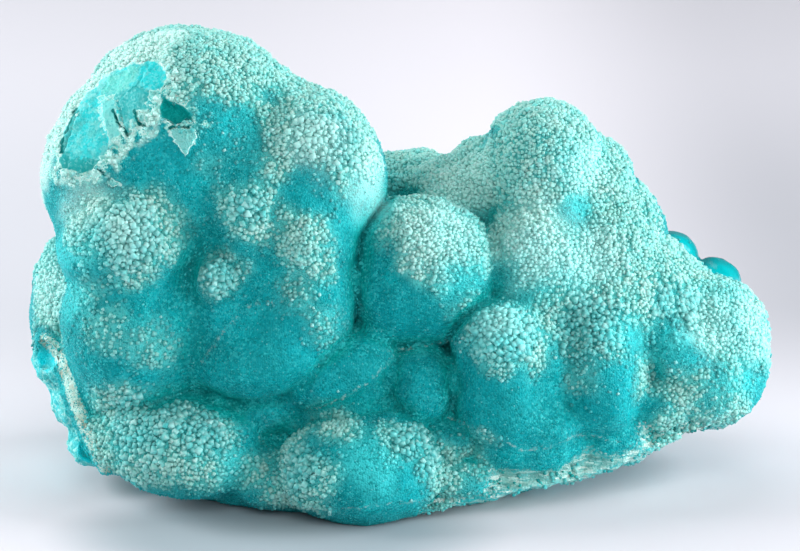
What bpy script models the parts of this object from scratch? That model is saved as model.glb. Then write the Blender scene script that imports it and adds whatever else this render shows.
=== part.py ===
"""A hand-sized botryoidal mineral mass: a tall bulging tower on the left, a round
ball in the middle, a lower hill on the right and a crust of small mounds along
the foot. It grew as one piece, so it is one closed body with a flat cut base.

The front faces -Y, the long way is X, and the base lies on Z = 0."""

import math
from collections import namedtuple

import bmesh
import bpy
import numpy as np
from mathutils import Matrix, Vector, noise

NODE = "smithsonite"
MM = 0.001
VOXEL = 0.8 * MM
BALL_SUBDIVISIONS = 3
SETTLING_STEPS = 6
LONGEST_STEP = 1.5
SLOPE_STEP = 0.05
MOST_TRIANGLES = 9400
VIEW_SLOPE = math.radians(15)

# The fine unevenness of the skin: height and wavelength in millimetres.
SWELLS = ((0.55, 8.0), (0.28, 3.4))

# The broken place on the tower's crown, where the crust is gone.
CRUST = 1.6
BREAK_EDGE = 0.6
BREAK_RAGGED = 0.4

Lobe = namedtuple("Lobe", "name x y z across deep tall blend lean", defaults=(0,))
Growth = namedtuple("Growth", "crease lobes")
Hollow = namedtuple("Hollow", "name x y z across deep tall")

# Every lobe is an ellipsoid: its centre, its three half sizes and how widely it
# runs into the lobes before it in its growth, in millimetres, then its lean in
# degrees. A growth's crease is how widely it runs into the growths before it.
BASE = Growth(0, [
    Lobe("core_base", -7.5, 0, 3.5, 34, 23, 7.5, 0),
    Lobe("core_base_right", 24.5, 2, 9, 16.5, 15, 6, 3),
])
TOWER = Growth(2, [
    Lobe("core_tower", -29.5, 2, 26.5, 19.5, 18, 27, 0),
    Lobe("crown", -31.5, 4, 49, 18.5, 20, 19, 4),
    Lobe("crown_left", -44, -3, 46.5, 9.5, 12, 13, 4),
    Lobe("shoulder", -15.5, 2, 44, 14, 15, 15.5, 4),
    Lobe("shoulder_front", -13, -6, 48, 9.5, 10, 10.5, 5),
    Lobe("brow", -22.5, -10, 43, 6, 9, 9.5, 4),
    Lobe("brow_low", -20.5, -9, 31, 7.5, 9, 9, 5),
    Lobe("left_cheek", -40, -10, 26, 10.5, 12, 12.5, 4),
    Lobe("left_cheek_low", -39, -9, 16.5, 7.5, 9, 6, 3),
    Lobe("left_knob", -40.5, -11, 39, 10.5, 11, 9, 2.5),
    Lobe("temple", -14, -12, 40, 6, 8, 6, 4),
    Lobe("temple_side", -13, -9, 33.5, 7, 9, 10, 4),
    Lobe("valley_knob", -27, -15, 35, 3.5, 5, 4, 1.5),
    Lobe("valley_nose", -26, -12, 28.5, 4, 7, 5, 3),
    Lobe("chin_top", -16.5, -11, 27.5, 9, 10, 7, 4),
    Lobe("chin", -20.5, -13, 23, 10.5, 10, 7, 2, -14),
    Lobe("chin_corner", -12.5, -13, 29.5, 5.2, 8.5, 6, 2.5),
])
THROAT = Growth(0.8, [
    Lobe("throat", -20, -8, 13.5, 10, 9, 6, 0),
])
JAW_LOW = Growth(0.5, [
    Lobe("jaw_low", -8, -10, 16, 9.5, 9.5, 5, 0, -20),
])
JAW = Growth(0.3, [
    Lobe("jaw", -9, -11.5, 19.5, 9.5, 9, 6, 0, -25),
])
BALL = Growth(0.3, [
    Lobe("middle_ball", 3.5, -6, 33, 10.5, 11, 11.5, 0),
    Lobe("middle_ball_left", -1.5, -7, 31, 6, 9, 9, 2.5),
    Lobe("middle_ball_top", -0.5, -4, 38, 7, 8, 5.5, 2.5),
    Lobe("middle_ball_side", 9.5, -6, 33.5, 5.2, 8.5, 8, 2),
])
SADDLE = Growth(0.8, [
    Lobe("core_middle", 2.5, 6, 22.5, 12, 15, 17, 0),
    Lobe("saddle", 12.5, 11, 39.4, 6.5, 12, 10, 2.5),
    Lobe("saddle_front", 7, 9, 39.5, 6, 11, 7, 3),
    Lobe("far_hump", 3, 20, 40, 6, 8, 5.5, 2.5),
    Lobe("far_hump_left", -1.5, 21, 40, 4, 8, 5, 1.5),
])
PEAK = Growth(2.5, [
    Lobe("peak", 21.5, 6, 46.5, 9.5, 12, 10, 0),
    Lobe("peak_right", 29, 9, 42.5, 7, 11, 7.5, 1.5),
    Lobe("peak_slope", 33.5, 8, 35.5, 7, 12, 7.5, 2.5),
    Lobe("peak_front", 21.5, 2, 40, 8.5, 9, 5.5, 4),
])
HILL = Growth(0.8, [
    Lobe("core_hill", 24, 4, 21.5, 22.5, 17, 17, 0),
    Lobe("hill", 20.5, -2, 33, 9.5, 11, 10.5, 1.5),
    Lobe("hill_shoulder", 30, 0, 35.5, 8, 9, 6.5, 3),
    Lobe("hill_middle", 29, -3, 24, 9.5, 11, 9.5, 4),
    Lobe("hill_right", 37, 4, 27.5, 9, 12, 8.5, 3),
    Lobe("end", 46, 4, 18.5, 10.5, 13, 12, 3),
    Lobe("end_low", 47.5, 2, 14, 7, 10, 6.5, 2),
    Lobe("end_knob_high", 41, -6.6, 21, 5, 6.5, 5, 3),
    Lobe("end_knob_right", 45, -6, 16, 6, 7, 6, 2),
    Lobe("end_knob_low", 38.5, -8, 13.5, 5.5, 6, 5, 2),
])
CHEEK_LEFT = Growth(0.3, [
    Lobe("cheek_left", 3.2, -11, 19, 5.4, 8.5, 5, 0),
    Lobe("cheek_left_low", 3.6, -11.5, 16, 5.4, 8.5, 4.5, 2.5),
])
SKIRT_LEFT = Growth(0.8, [
    Lobe("skirt_left", 7, -12.5, 10.5, 6.5, 8, 4, 0),
])
SKIRT = Growth(0.5, [
    Lobe("skirt", 18, -12, 9, 11, 9.5, 5.5, 0),
    Lobe("skirt_right", 31, -8, 9, 7.5, 9, 5, 0.6),
])
CHEEK = Growth(2.5, [
    Lobe("cheek", 15, -13, 18.5, 7.5, 10, 10.5, 0),
    Lobe("cheek_bottom", 15.5, -13.5, 14, 7.5, 10, 5.5, 3),
    Lobe("cheek_crown", 15.5, -11, 25, 7.5, 9, 5.5, 4),
    Lobe("cheek_fill", 22.3, -10.5, 19, 4.5, 8.5, 8, 3),
    Lobe("cheek_low", 21, -13, 12.5, 7, 9, 4.5, 2),
])
CHEEK_RIGHT = Growth(1.5, [
    Lobe("cheek_right", 29.5, -10, 18, 7.5, 10, 10, 0),
])
APRON_LEFT = Growth(0.5, [
    Lobe("apron_left", -31.5, -14, 9, 12.5, 12, 8, 0, 6),
    Lobe("apron_left_top", -37, -12, 11, 9, 9, 6, 2),
])
APRON_FRONT = Growth(0.5, [
    Lobe("apron_front", -6, -20, 7, 12.5, 11, 8.5, 0),
    Lobe("apron_front_top", -2, -17, 9.5, 7.5, 9, 6, 2),
    Lobe("apron_right", 8.5, -17, 5, 6.5, 6, 4, 1.5),
])
APRON_LINK = Growth(0.8, [
    Lobe("apron_link", -19.5, -16.5, 5, 6, 8, 5, 0),
])
BACK = Growth(1.5, [
    Lobe("back_crown", -34, 16, 44, 14, 10, 13, 0),
    Lobe("back_shoulder", -15, 14, 37, 11, 9, 12, 2),
    Lobe("back_tower_low", -33, 17, 21, 13, 10, 13, 1.5),
    Lobe("back_middle", -11, 19, 20, 11, 9, 13, 1.5),
    Lobe("back_saddle", 9, 21, 27, 11, 9, 11, 1.5),
    Lobe("back_peak", 25, 17, 34, 10, 10, 11, 2),
    Lobe("back_slope", 35, 16, 21, 10, 10, 10, 1.5),
    Lobe("back_foot_left", -30, 19, 7, 13, 8, 8, 1.2),
    Lobe("back_foot_middle", -5, 22, 6, 14, 8, 8, 1.2),
    Lobe("back_foot_right", 21, 20, 8, 14, 9, 9, 1.2),
])
BACK_LEFT = Growth(0.8, [
    Lobe("back_left", -49, 6, 25, 7.5, 11, 11.5, 0),
])
GLASSY_KNOBS = Growth(0.6, [
    Lobe("knob_upper", 41.5, 14, 28.5, 4.5, 8, 6, 0),
    Lobe("knob_lower", 48, 10, 25, 5, 8, 6, 0.6),
])
BROKEN_EDGE = Growth(0.8, [
    Lobe("shard_top", -51.5, 0, 17.5, 4, 7, 4, 0),
    Lobe("shard_middle", -48, -1, 12.5, 5, 8, 5.5, 1),
    Lobe("shard_low", -46.5, -3, 6, 4, 8, 3.5, 1),
])

# The thin crust shows its edge twice: as a lip along the front of the foot and
# as a raised band beside the broken edge on the left.
LIP_PATH = [
    (0, -19, 1), (6, -18, 2), (12, -17, 3), (18, -16, 4), (25, -14, 4.5),
    (31, -12, 6), (36, -10, 8), (41, -7, 9.5), (46, -4, 10),
]
LIP_HALF_SIZES = (3, 5, 1.2)
LIP_STEPS = 3
LIP_BLEND = 0.6
BAND_PATH = [
    (-53, -3, 22), (-51.5, -5, 21), (-50, -7, 19), (-49, -9, 16.5), (-48, -11, 14),
    (-46.5, -13, 11.5), (-45, -15, 8.5), (-43.5, -16, 6),
]
BAND_HALF_SIZES = (1.5, 2.5, 2)
BAND_STEPS = 3
BAND_BLEND = 0.6

HOLLOWS = [
    Hollow("crown_hole", -32.5, -14, 58.7, 1.8, 3, 1.3),
    Hollow("shard_scoop_top", -53.5, -6, 20.5, 2.2, 3, 2),
    Hollow("shard_scoop_low", -46.5, -10, 8.5, 2.4, 4, 3),
    Hollow("end_chip", 54, -3, 16.5, 1.6, 3, 1.4),
    Hollow("end_notch", 42, -9.5, 11, 1.2, 3, 0.8),
]

# The broken place's outline, across and up, as seen from the front and 15
# degrees above, in millimetres.
BREAK_OUTLINE = [
    (-50.5, 45), (-50, 48.5), (-49, 52.5), (-46.5, 55.5), (-44.5, 58), (-41, 61),
    (-36.5, 62), (-34, 60), (-34.5, 57), (-36, 56), (-36.5, 54), (-38, 53),
    (-39, 50.5), (-41, 50.5), (-42.5, 48), (-45, 45.5), (-47.5, 44.5),
]

STONE_COLOUR = (0.16, 0.55, 0.52, 1)
STONE_ROUGHNESS = 0.45


def along(path, steps, half_sizes, blend):
    """Small lobes set closely along a path, so many to each stretch of it."""
    lobes = []
    for start, end in zip(path, path[1:]):
        for step in range(steps):
            share = step / steps
            point = [a + (b - a) * share for a, b in zip(start, end)]
            lobes.append(Lobe("path", *point, *half_sizes, blend))
    return lobes


def all_growths():
    lip = along(LIP_PATH, LIP_STEPS, LIP_HALF_SIZES, LIP_BLEND)
    band = along(BAND_PATH, BAND_STEPS, BAND_HALF_SIZES, BAND_BLEND)
    return [
        BASE, TOWER, SADDLE, PEAK, HILL, CHEEK, CHEEK_RIGHT, THROAT, JAW_LOW, JAW,
        BALL, CHEEK_LEFT, SKIRT_LEFT, SKIRT, APRON_LEFT, APRON_FRONT, APRON_LINK,
        BACK, BACK_LEFT, GLASSY_KNOBS, BROKEN_EDGE,
        Growth(LIP_BLEND, lip), Growth(BAND_BLEND, band),
    ]


def clear_scene():
    for item in list(bpy.data.objects):
        bpy.data.objects.remove(item)


def new_collection(name):
    collection = bpy.data.collections.new(name)
    bpy.context.scene.collection.children.link(collection)
    return collection


def lobe_matrix(lobe):
    """Places, leans and stretches a ball of radius 1."""
    place = Matrix.Translation(Vector((lobe.x, lobe.y, lobe.z)) * MM)
    lean = Matrix.Rotation(math.radians(lobe.lean), 4, "Y")
    stretch = Matrix.Diagonal((lobe.across, lobe.deep, lobe.tall, 1 / MM)) * MM
    return place @ lean @ stretch


def heap_of_balls(collection):
    """The lobes as overlapping balls in one mesh."""
    shape = bmesh.new()
    for growth in all_growths():
        for lobe in growth.lobes:
            bmesh.ops.create_icosphere(
                shape,
                subdivisions=BALL_SUBDIVISIONS,
                radius=1,
                matrix=lobe_matrix(lobe),
            )
    mesh = bpy.data.meshes.new(NODE)
    shape.to_mesh(mesh)
    shape.free()
    mass = bpy.data.objects.new(NODE, mesh)
    collection.objects.link(mass)
    return mass


def join_balls(mass):
    """Makes one skin of the balls, with even faces."""
    join = mass.modifiers.new("join", "REMESH")
    join.mode = "VOXEL"
    join.voxel_size = VOXEL
    graph = bpy.context.evaluated_depsgraph_get()
    skin = bpy.data.meshes.new_from_object(mass.evaluated_get(graph))
    mass.modifiers.clear()
    mass.data = skin


def distance_to_ellipsoid(points, shape, lean=0):
    """Roughly how far each point lies outside an ellipsoid."""
    offset = points - np.array((shape.x, shape.y, shape.z))
    if lean:
        back = math.radians(lean)
        across = offset[:, 0] * math.cos(back) - offset[:, 2] * math.sin(back)
        up = offset[:, 0] * math.sin(back) + offset[:, 2] * math.cos(back)
        offset = np.stack([across, offset[:, 1], up], axis=1)
    half_sizes = np.array((shape.across, shape.deep, shape.tall))
    near = np.linalg.norm(offset / half_sizes, axis=1) + 1e-9
    steep = np.linalg.norm(offset / half_sizes**2, axis=1) + 1e-9
    return near * (near - 1) / steep


def soft_union(first, second, blend):
    """The nearer of two distances, rounded over where they are alike."""
    nearer = np.minimum(first, second)
    if blend <= 0:
        return nearer
    alike = np.maximum(blend - np.abs(first - second), 0) / blend
    return nearer - alike**2 * blend / 4


def distance_to_outline(across, up, outline):
    """How far each point lies inside a closed outline; negative outside."""
    nearest = np.full(len(across), np.inf)
    inside = np.zeros(len(across), bool)
    ends = outline[1:] + outline[:1]
    for (x0, y0), (x1, y1) in zip(outline, ends):
        run_x, run_y = x1 - x0, y1 - y0
        share = (across - x0) * run_x + (up - y0) * run_y
        share = np.clip(share / (run_x**2 + run_y**2), 0, 1)
        gap = np.hypot(across - x0 - share * run_x, up - y0 - share * run_y)
        nearest = np.minimum(nearest, gap)
        crosses = (y0 > up) != (y1 > up)
        if run_y:
            crossing_x = x0 + (up - y0) * run_x / run_y
            inside ^= crosses & (across < crossing_x)
    return np.where(inside, nearest, -nearest)


def crust_loss(points):
    """How much crust is missing at each point, 0 away from the broken place."""
    across = points[:, 0]
    up = points[:, 2] * math.cos(VIEW_SLOPE) + points[:, 1] * math.sin(VIEW_SLOPE)
    ragged = BREAK_RAGGED * np.sin(across * 1.7 + up) * np.sin(up * 1.9 - across)
    within = distance_to_outline(across, up, BREAK_OUTLINE) + ragged
    share = np.clip(within / BREAK_EDGE + 0.5, 0, 1)
    in_front = np.clip(4 - points[:, 1], 0, 1)
    return CRUST * share * in_front


def distance_to_growth(points, growth):
    distance = distance_to_ellipsoid(points, growth.lobes[0], growth.lobes[0].lean)
    for lobe in growth.lobes[1:]:
        ball = distance_to_ellipsoid(points, lobe, lobe.lean)
        distance = soft_union(distance, ball, lobe.blend)
    return distance


def distance_to_mass(points):
    """How far each point lies outside the finished mass, in millimetres."""
    growths = all_growths()
    distance = distance_to_growth(points, growths[0])
    for growth in growths[1:]:
        grown = distance_to_growth(points, growth)
        distance = soft_union(distance, grown, growth.crease)
    for hollow in HOLLOWS:
        distance = np.maximum(distance, -distance_to_ellipsoid(points, hollow))
    return distance


def slope_of(points, distance):
    """The direction in which the distance grows, at each point."""
    slopes = []
    for axis in np.eye(3):
        further = distance_to_mass(points + SLOPE_STEP * axis)
        slopes.append((further - distance) / SLOPE_STEP)
    slope = np.stack(slopes, axis=1)
    return slope / (np.linalg.norm(slope, axis=1, keepdims=True) + 1e-6)


def swell(point):
    """The unevenness of the skin at a point."""
    place = Vector(point)
    return sum(height * noise.noise(place / wave) for height, wave in SWELLS)


def settle(mass):
    """Draws the skin onto the lobes, then makes it uneven."""
    mesh = mass.data
    points = np.empty(len(mesh.vertices) * 3)
    mesh.vertices.foreach_get("co", points)
    points = points.reshape(-1, 3) / MM
    for _ in range(SETTLING_STEPS):
        distance = distance_to_mass(points)
        step = np.clip(distance, -LONGEST_STEP, LONGEST_STEP)
        points -= slope_of(points, distance) * step[:, None]
    outward = slope_of(points, distance_to_mass(points))
    heights = np.array([swell(point) for point in points]) - crust_loss(points)
    points += outward * heights[:, None]
    mesh.vertices.foreach_set("co", (points * MM).ravel())
    mesh.update()


def relax(mass):
    """Evens out the facets that stand askew along steps and creases."""
    even = mass.modifiers.new("even_out", "SMOOTH")
    even.factor = 0.3
    even.iterations = 1


def thin_out(mass):
    """Keeps the facets few, with the small ones where the form is tight."""
    thin = mass.modifiers.new("thin_out", "DECIMATE")
    thin.use_collapse_triangulate = True
    thin.ratio = MOST_TRIANGLES / (2 * len(mass.data.polygons))


def cut_base(mass, collection):
    """Cuts the base flat at Z = 0, so that the mass rests on it."""
    shape = bmesh.new()
    below = Matrix.Translation((0, 0, -20 * MM))
    size = Matrix.Diagonal((0.2, 0.2, 40 * MM, 1))
    bmesh.ops.create_cube(shape, size=1, matrix=below @ size)
    mesh = bpy.data.meshes.new("floor_cutter")
    shape.to_mesh(mesh)
    shape.free()
    cutter = bpy.data.objects.new("floor_cutter", mesh)
    collection.objects.link(cutter)
    cutter.hide_render = True
    cutter.display_type = "WIRE"
    cut = mass.modifiers.new("cut_base", "BOOLEAN")
    cut.operation = "DIFFERENCE"
    cut.solver = "EXACT"
    cut.object = cutter


def stone():
    material = bpy.data.materials.new("smithsonite_stone")
    material.use_nodes = True
    shader = material.node_tree.nodes["Principled BSDF"]
    shader.inputs["Base Color"].default_value = STONE_COLOUR
    shader.inputs["Roughness"].default_value = STONE_ROUGHNESS
    shader.inputs["Metallic"].default_value = 0
    return material


def main():
    clear_scene()
    grown = new_collection("smithsonite")
    cutters = new_collection("cutters")
    mass = heap_of_balls(grown)
    join_balls(mass)
    settle(mass)
    mass.data.materials.clear()
    mass.data.materials.append(stone())
    relax(mass)
    thin_out(mass)
    cut_base(mass, cutters)


main()
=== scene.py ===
"""The finished smithsonite: a blue-green botryoidal mass with its sugary coat of
small crystals, standing on a pale floor in soft light.

The skin is grown from the plain solid's lobes, in a finer mesh. Three of its
joins are softer than the solid's, the band's, the back left lobe's and the broken
edge's, and the two scoops are smaller and lie further forward. On it stand small
rhombohedra and, where the coat is finest, three-faced tips. The front faces -Y."""

import math
from collections import namedtuple

import bmesh
import bpy
import numpy as np
from mathutils import Matrix, Vector, noise


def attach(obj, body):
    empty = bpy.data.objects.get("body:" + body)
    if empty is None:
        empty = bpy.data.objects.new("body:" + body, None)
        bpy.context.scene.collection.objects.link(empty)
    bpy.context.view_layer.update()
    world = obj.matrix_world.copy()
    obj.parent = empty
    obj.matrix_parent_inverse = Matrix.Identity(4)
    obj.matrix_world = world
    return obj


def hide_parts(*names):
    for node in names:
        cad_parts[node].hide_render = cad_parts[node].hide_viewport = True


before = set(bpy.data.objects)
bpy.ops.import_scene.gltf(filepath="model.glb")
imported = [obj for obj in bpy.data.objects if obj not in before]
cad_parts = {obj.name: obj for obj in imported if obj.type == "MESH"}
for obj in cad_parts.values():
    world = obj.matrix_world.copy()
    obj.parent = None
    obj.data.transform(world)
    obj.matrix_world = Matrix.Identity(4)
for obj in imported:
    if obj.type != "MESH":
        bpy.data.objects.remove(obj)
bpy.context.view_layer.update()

NODE = "smithsonite"
BODY = "root"
MM = 0.001

VOXEL = 0.66 * MM
BALL_SUBDIVISIONS = 3
SETTLING_STEPS = 5
LONGEST_STEP = 1.5
SLOPE_STEP = 0.05
CELL = 10
CELL_MARGIN = 7
VIEW_SLOPE = math.radians(15)

# A gap in millimetres that is too wide for anything to show.
FAR = 9

# The unevenness of the skin: height and wavelength in millimetres.
SWELLS = ((0.55, 8.0), (0.28, 3.4), (0.15, 1.8))
CLUMP_HEIGHT = 0.4
CLUMP_WAVE = 1.4
CRUMB_HEIGHT = 0.6
CRUMB_WAVE = 1.1

# The skin under the crystals lies this far inside the joined lobes, before its
# swells are added.
COAT_DEPTH = 0.35

# The broken place on the tower's crown, where the crust is gone. It and its hole
# end at a Y of their own, and its outlines are made ragged by noise of a height,
# a wavelength and a seed.
CRUST = 0.7
BREAK_EDGE = 0.3
SLOPING_EDGE = 1.6
BREAK_MIDDLE = (-42, 53)
BREAK_FINE_CUTS = 3
BREAK_BACK = 4
HOLE_BACK = 0
BREAK_NOISE = ((0.3, 1.4, 1), (0.3, 0.5, 2))
FLAKE_NOISE = ((0.35, 0.9, 7), (0.2, 0.4, 8))

Lobe = namedtuple("Lobe", "name x y z across deep tall blend lean", defaults=(0,))
Growth = namedtuple("Growth", "crease lobes")
Hollow = namedtuple("Hollow", "name x y z across deep tall")
Patch = namedtuple("Patch", "x y z reach")
Spot = namedtuple("Spot", "across up reach")

# Every lobe is an ellipsoid: its centre, its three half sizes and how widely it
# runs into the lobes before it in its growth, in millimetres, then its lean in
# degrees. A growth's crease is how widely it runs into the growths before it.
BASE = Growth(0, [
    Lobe("core_base", -7.5, 0, 3.5, 34, 23, 7.5, 0),
    Lobe("core_base_right", 24.5, 2, 9, 16.5, 15, 6, 3),
])
TOWER = Growth(2, [
    Lobe("core_tower", -29.5, 2, 26.5, 19.5, 18, 27, 0),
    Lobe("crown", -31.5, 4, 49, 18.5, 20, 19, 4),
    Lobe("crown_left", -44, -3, 46.5, 9.5, 12, 13, 4),
    Lobe("shoulder", -15.5, 2, 44, 14, 15, 15.5, 4),
    Lobe("shoulder_front", -13, -6, 48, 9.5, 10, 10.5, 5),
    Lobe("brow", -22.5, -10, 43, 6, 9, 9.5, 4),
    Lobe("brow_low", -20.5, -9, 31, 7.5, 9, 9, 5),
    Lobe("left_cheek", -40, -10, 26, 10.5, 12, 12.5, 4),
    Lobe("left_cheek_low", -39, -9, 16.5, 7.5, 9, 6, 3),
    Lobe("left_knob", -40.5, -11, 39, 10.5, 11, 9, 2.5),
    Lobe("temple", -14, -12, 40, 6, 8, 6, 4),
    Lobe("temple_side", -13, -9, 33.5, 7, 9, 10, 4),
    Lobe("valley_knob", -27, -15, 35, 3.5, 5, 4, 1.5),
    Lobe("valley_nose", -26, -12, 28.5, 4, 7, 5, 3),
    Lobe("chin_top", -16.5, -11, 27.5, 9, 10, 7, 4),
    Lobe("chin", -20.5, -13, 23, 10.5, 10, 7, 2, -14),
    Lobe("chin_corner", -12.5, -13, 29.5, 5.2, 8.5, 6, 2.5),
])
THROAT = Growth(0.8, [
    Lobe("throat", -20, -8, 13.5, 10, 9, 6, 0),
])
JAW_LOW = Growth(0.5, [
    Lobe("jaw_low", -8, -10, 16, 9.5, 9.5, 5, 0, -20),
])
JAW = Growth(0.3, [
    Lobe("jaw", -9, -11.5, 19.5, 9.5, 9, 6, 0, -25),
])
BALL = Growth(0.3, [
    Lobe("middle_ball", 3.5, -6, 33, 10.5, 11, 11.5, 0),
    Lobe("middle_ball_left", -1.5, -7, 31, 6, 9, 9, 2.5),
    Lobe("middle_ball_top", -0.5, -4, 38, 7, 8, 5.5, 2.5),
    Lobe("middle_ball_side", 9.5, -6, 33.5, 5.2, 8.5, 8, 2),
])
SADDLE = Growth(0.8, [
    Lobe("core_middle", 2.5, 6, 22.5, 12, 15, 17, 0),
    Lobe("saddle", 12.5, 11, 39.4, 6.5, 12, 10, 2.5),
    Lobe("saddle_front", 7, 9, 39.5, 6, 11, 7, 3),
    Lobe("far_hump", 3, 20, 40, 6, 8, 5.5, 2.5),
    Lobe("far_hump_left", -1.5, 21, 40, 4, 8, 5, 1.5),
])
PEAK = Growth(2.5, [
    Lobe("peak", 21.5, 6, 46.5, 9.5, 12, 10, 0),
    Lobe("peak_right", 29, 9, 42.5, 7, 11, 7.5, 1.5),
    Lobe("peak_slope", 33.5, 8, 35.5, 7, 12, 7.5, 2.5),
    Lobe("peak_front", 21.5, 2, 40, 8.5, 9, 5.5, 4),
])
HILL = Growth(0.8, [
    Lobe("core_hill", 24, 4, 21.5, 22.5, 17, 17, 0),
    Lobe("hill", 20.5, -2, 33, 9.5, 11, 10.5, 1.5),
    Lobe("hill_shoulder", 30, 0, 35.5, 8, 9, 6.5, 3),
    Lobe("hill_middle", 29, -3, 24, 9.5, 11, 9.5, 4),
    Lobe("hill_right", 37, 4, 27.5, 9, 12, 8.5, 3),
    Lobe("end", 46, 4, 18.5, 10.5, 13, 12, 3),
    Lobe("end_low", 47.5, 2, 14, 7, 10, 6.5, 2),
    Lobe("end_knob_high", 41, -6.6, 21, 5, 6.5, 5, 3),
    Lobe("end_knob_right", 45, -6, 16, 6, 7, 6, 2),
    Lobe("end_knob_low", 38.5, -8, 13.5, 5.5, 6, 5, 2),
])
CHEEK_LEFT = Growth(0.3, [
    Lobe("cheek_left", 3.2, -11, 19, 5.4, 8.5, 5, 0),
    Lobe("cheek_left_low", 3.6, -11.5, 16, 5.4, 8.5, 4.5, 2.5),
])
SKIRT_LEFT = Growth(0.8, [
    Lobe("skirt_left", 7, -12.5, 10.5, 6.5, 8, 4, 0),
])
SKIRT = Growth(0.5, [
    Lobe("skirt", 18, -12, 9, 11, 9.5, 5.5, 0),
    Lobe("skirt_right", 31, -8, 9, 7.5, 9, 5, 0.6),
])
CHEEK = Growth(2.5, [
    Lobe("cheek", 15, -13, 18.5, 7.5, 10, 10.5, 0),
    Lobe("cheek_bottom", 15.5, -13.5, 14, 7.5, 10, 5.5, 3),
    Lobe("cheek_crown", 15.5, -11, 25, 7.5, 9, 5.5, 4),
    Lobe("cheek_fill", 22.3, -10.5, 19, 4.5, 8.5, 8, 3),
    Lobe("cheek_low", 21, -13, 12.5, 7, 9, 4.5, 2),
])
CHEEK_RIGHT = Growth(1.5, [
    Lobe("cheek_right", 29.5, -10, 18, 7.5, 10, 10, 0),
])
APRON_LEFT = Growth(0.5, [
    Lobe("apron_left", -31.5, -14, 9, 12.5, 12, 8, 0, 6),
    Lobe("apron_left_top", -37, -12, 11, 9, 9, 6, 2),
])
APRON_FRONT = Growth(0.5, [
    Lobe("apron_front", -6, -20, 7, 12.5, 11, 8.5, 0),
    Lobe("apron_front_top", -2, -17, 9.5, 7.5, 9, 6, 2),
    Lobe("apron_right", 8.5, -17, 5, 6.5, 6, 4, 1.5),
])
APRON_LINK = Growth(0.8, [
    Lobe("apron_link", -19.5, -16.5, 5, 6, 8, 5, 0),
])
BACK = Growth(1.5, [
    Lobe("back_crown", -34, 16, 44, 14, 10, 13, 0),
    Lobe("back_shoulder", -15, 14, 37, 11, 9, 12, 2),
    Lobe("back_tower_low", -33, 17, 21, 13, 10, 13, 1.5),
    Lobe("back_middle", -11, 19, 20, 11, 9, 13, 1.5),
    Lobe("back_saddle", 9, 21, 27, 11, 9, 11, 1.5),
    Lobe("back_peak", 25, 17, 34, 10, 10, 11, 2),
    Lobe("back_slope", 35, 16, 21, 10, 10, 10, 1.5),
    Lobe("back_foot_left", -30, 19, 7, 13, 8, 8, 1.2),
    Lobe("back_foot_middle", -5, 22, 6, 14, 8, 8, 1.2),
    Lobe("back_foot_right", 21, 20, 8, 14, 9, 9, 1.2),
])
BACK_LEFT = Growth(2.5, [
    Lobe("back_left", -49, 6, 25, 7.5, 11, 11.5, 0),
])
GLASSY_KNOBS = Growth(0.6, [
    Lobe("knob_upper", 41.5, 14, 28.5, 4.5, 8, 6, 0),
    Lobe("knob_lower", 48, 10, 25, 5, 8, 6, 0.6),
])
BROKEN_EDGE = Growth(2, [
    Lobe("shard_top", -51.5, 0, 17.5, 4, 7, 4, 0),
    Lobe("shard_middle", -48, -1, 12.5, 5, 8, 5.5, 1),
    Lobe("shard_low", -46.5, -3, 6, 4, 8, 3.5, 1),
])

# The thin crust shows its edge twice: as a lip along the front of the foot and
# as a raised band beside the broken edge on the left.
LIP_PATH = [
    (0, -19, 1), (6, -18, 2), (12, -17, 3), (18, -16, 4), (25, -14, 4.5),
    (31, -12, 6), (36, -10, 8), (41, -7, 9.5), (46, -4, 10),
]
LIP_HALF_SIZES = (3, 5, 1.2)
LIP_STEPS = 3
LIP_BLEND = 0.6
LIP_REACH = 4
BAND_PATH = [
    (-53, -3, 22), (-51.5, -5, 21), (-50, -7, 19), (-49, -9, 16.5), (-48, -11, 14),
    (-46.5, -13, 11.5), (-45, -15, 8.5), (-43.5, -16, 6),
]
BAND_HALF_SIZES = (1.5, 2.5, 2)
BAND_STEPS = 3
BAND_BLEND = 0.6
BAND_CREASE = 3
BAND_REACH = 1.8

# The first two hollows are the clear scoops in the broken edge.
HOLLOWS = [
    Hollow("shard_scoop_top", -53.5, -7, 20.3, 2.2, 3, 2),
    Hollow("shard_scoop_low", -46.5, -12.5, 8, 2.4, 3.4, 3),
    Hollow("end_chip", 54, -3, 16.5, 1.6, 3, 1.4),
    Hollow("end_notch", 42, -9.5, 11, 1.2, 3, 0.8),
]
SCOOPS = HOLLOWS[:2]

# Outlines in the broken place, across and up, as seen from the front and 15
# degrees above, in millimetres. Layers stand above the broken floor.
BREAK_OUTLINE = [
    (-49.7, 48), (-50, 49.7), (-49.4, 51.5), (-48.5, 53.2), (-47.5, 55), (-46.5, 56.5),
    (-44.4, 58.8), (-42.9, 60), (-41.2, 60.7), (-39.4, 61.3), (-38.3, 61.1),
    (-37.7, 61.7), (-36.5, 62), (-35.5, 61.4), (-34.6, 60.4), (-34, 59.4),
    (-34.5, 57.9), (-35.1, 56.7), (-36.5, 56), (-36.8, 55.1), (-36.2, 54.4),
    (-36.7, 53.8), (-38, 53.8), (-38.1, 52.9), (-37.1, 52.1), (-37.2, 51.5),
    (-38.7, 52.1), (-39.3, 52.4), (-39.3, 51.2), (-39.6, 50.3), (-40.2, 50.8),
    (-40.8, 52.1), (-41, 51.3), (-40.8, 50.3), (-41.8, 49.6), (-40.8, 48.6),
    (-42.1, 48.3), (-42.7, 47.5), (-42.5, 46.8), (-43.8, 46.4), (-44.3, 45.4),
    (-45.6, 44.8), (-46.7, 44.6), (-47.9, 45.1), (-49.4, 45.4), (-50, 46.8),
]
BRIGHT_LAYER = [
    (-36.5, 61.8), (-34.7, 60.7), (-34, 59.3), (-35, 57), (-36.5, 57.4), (-38.5, 58.5),
    (-38, 60),
]
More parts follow.
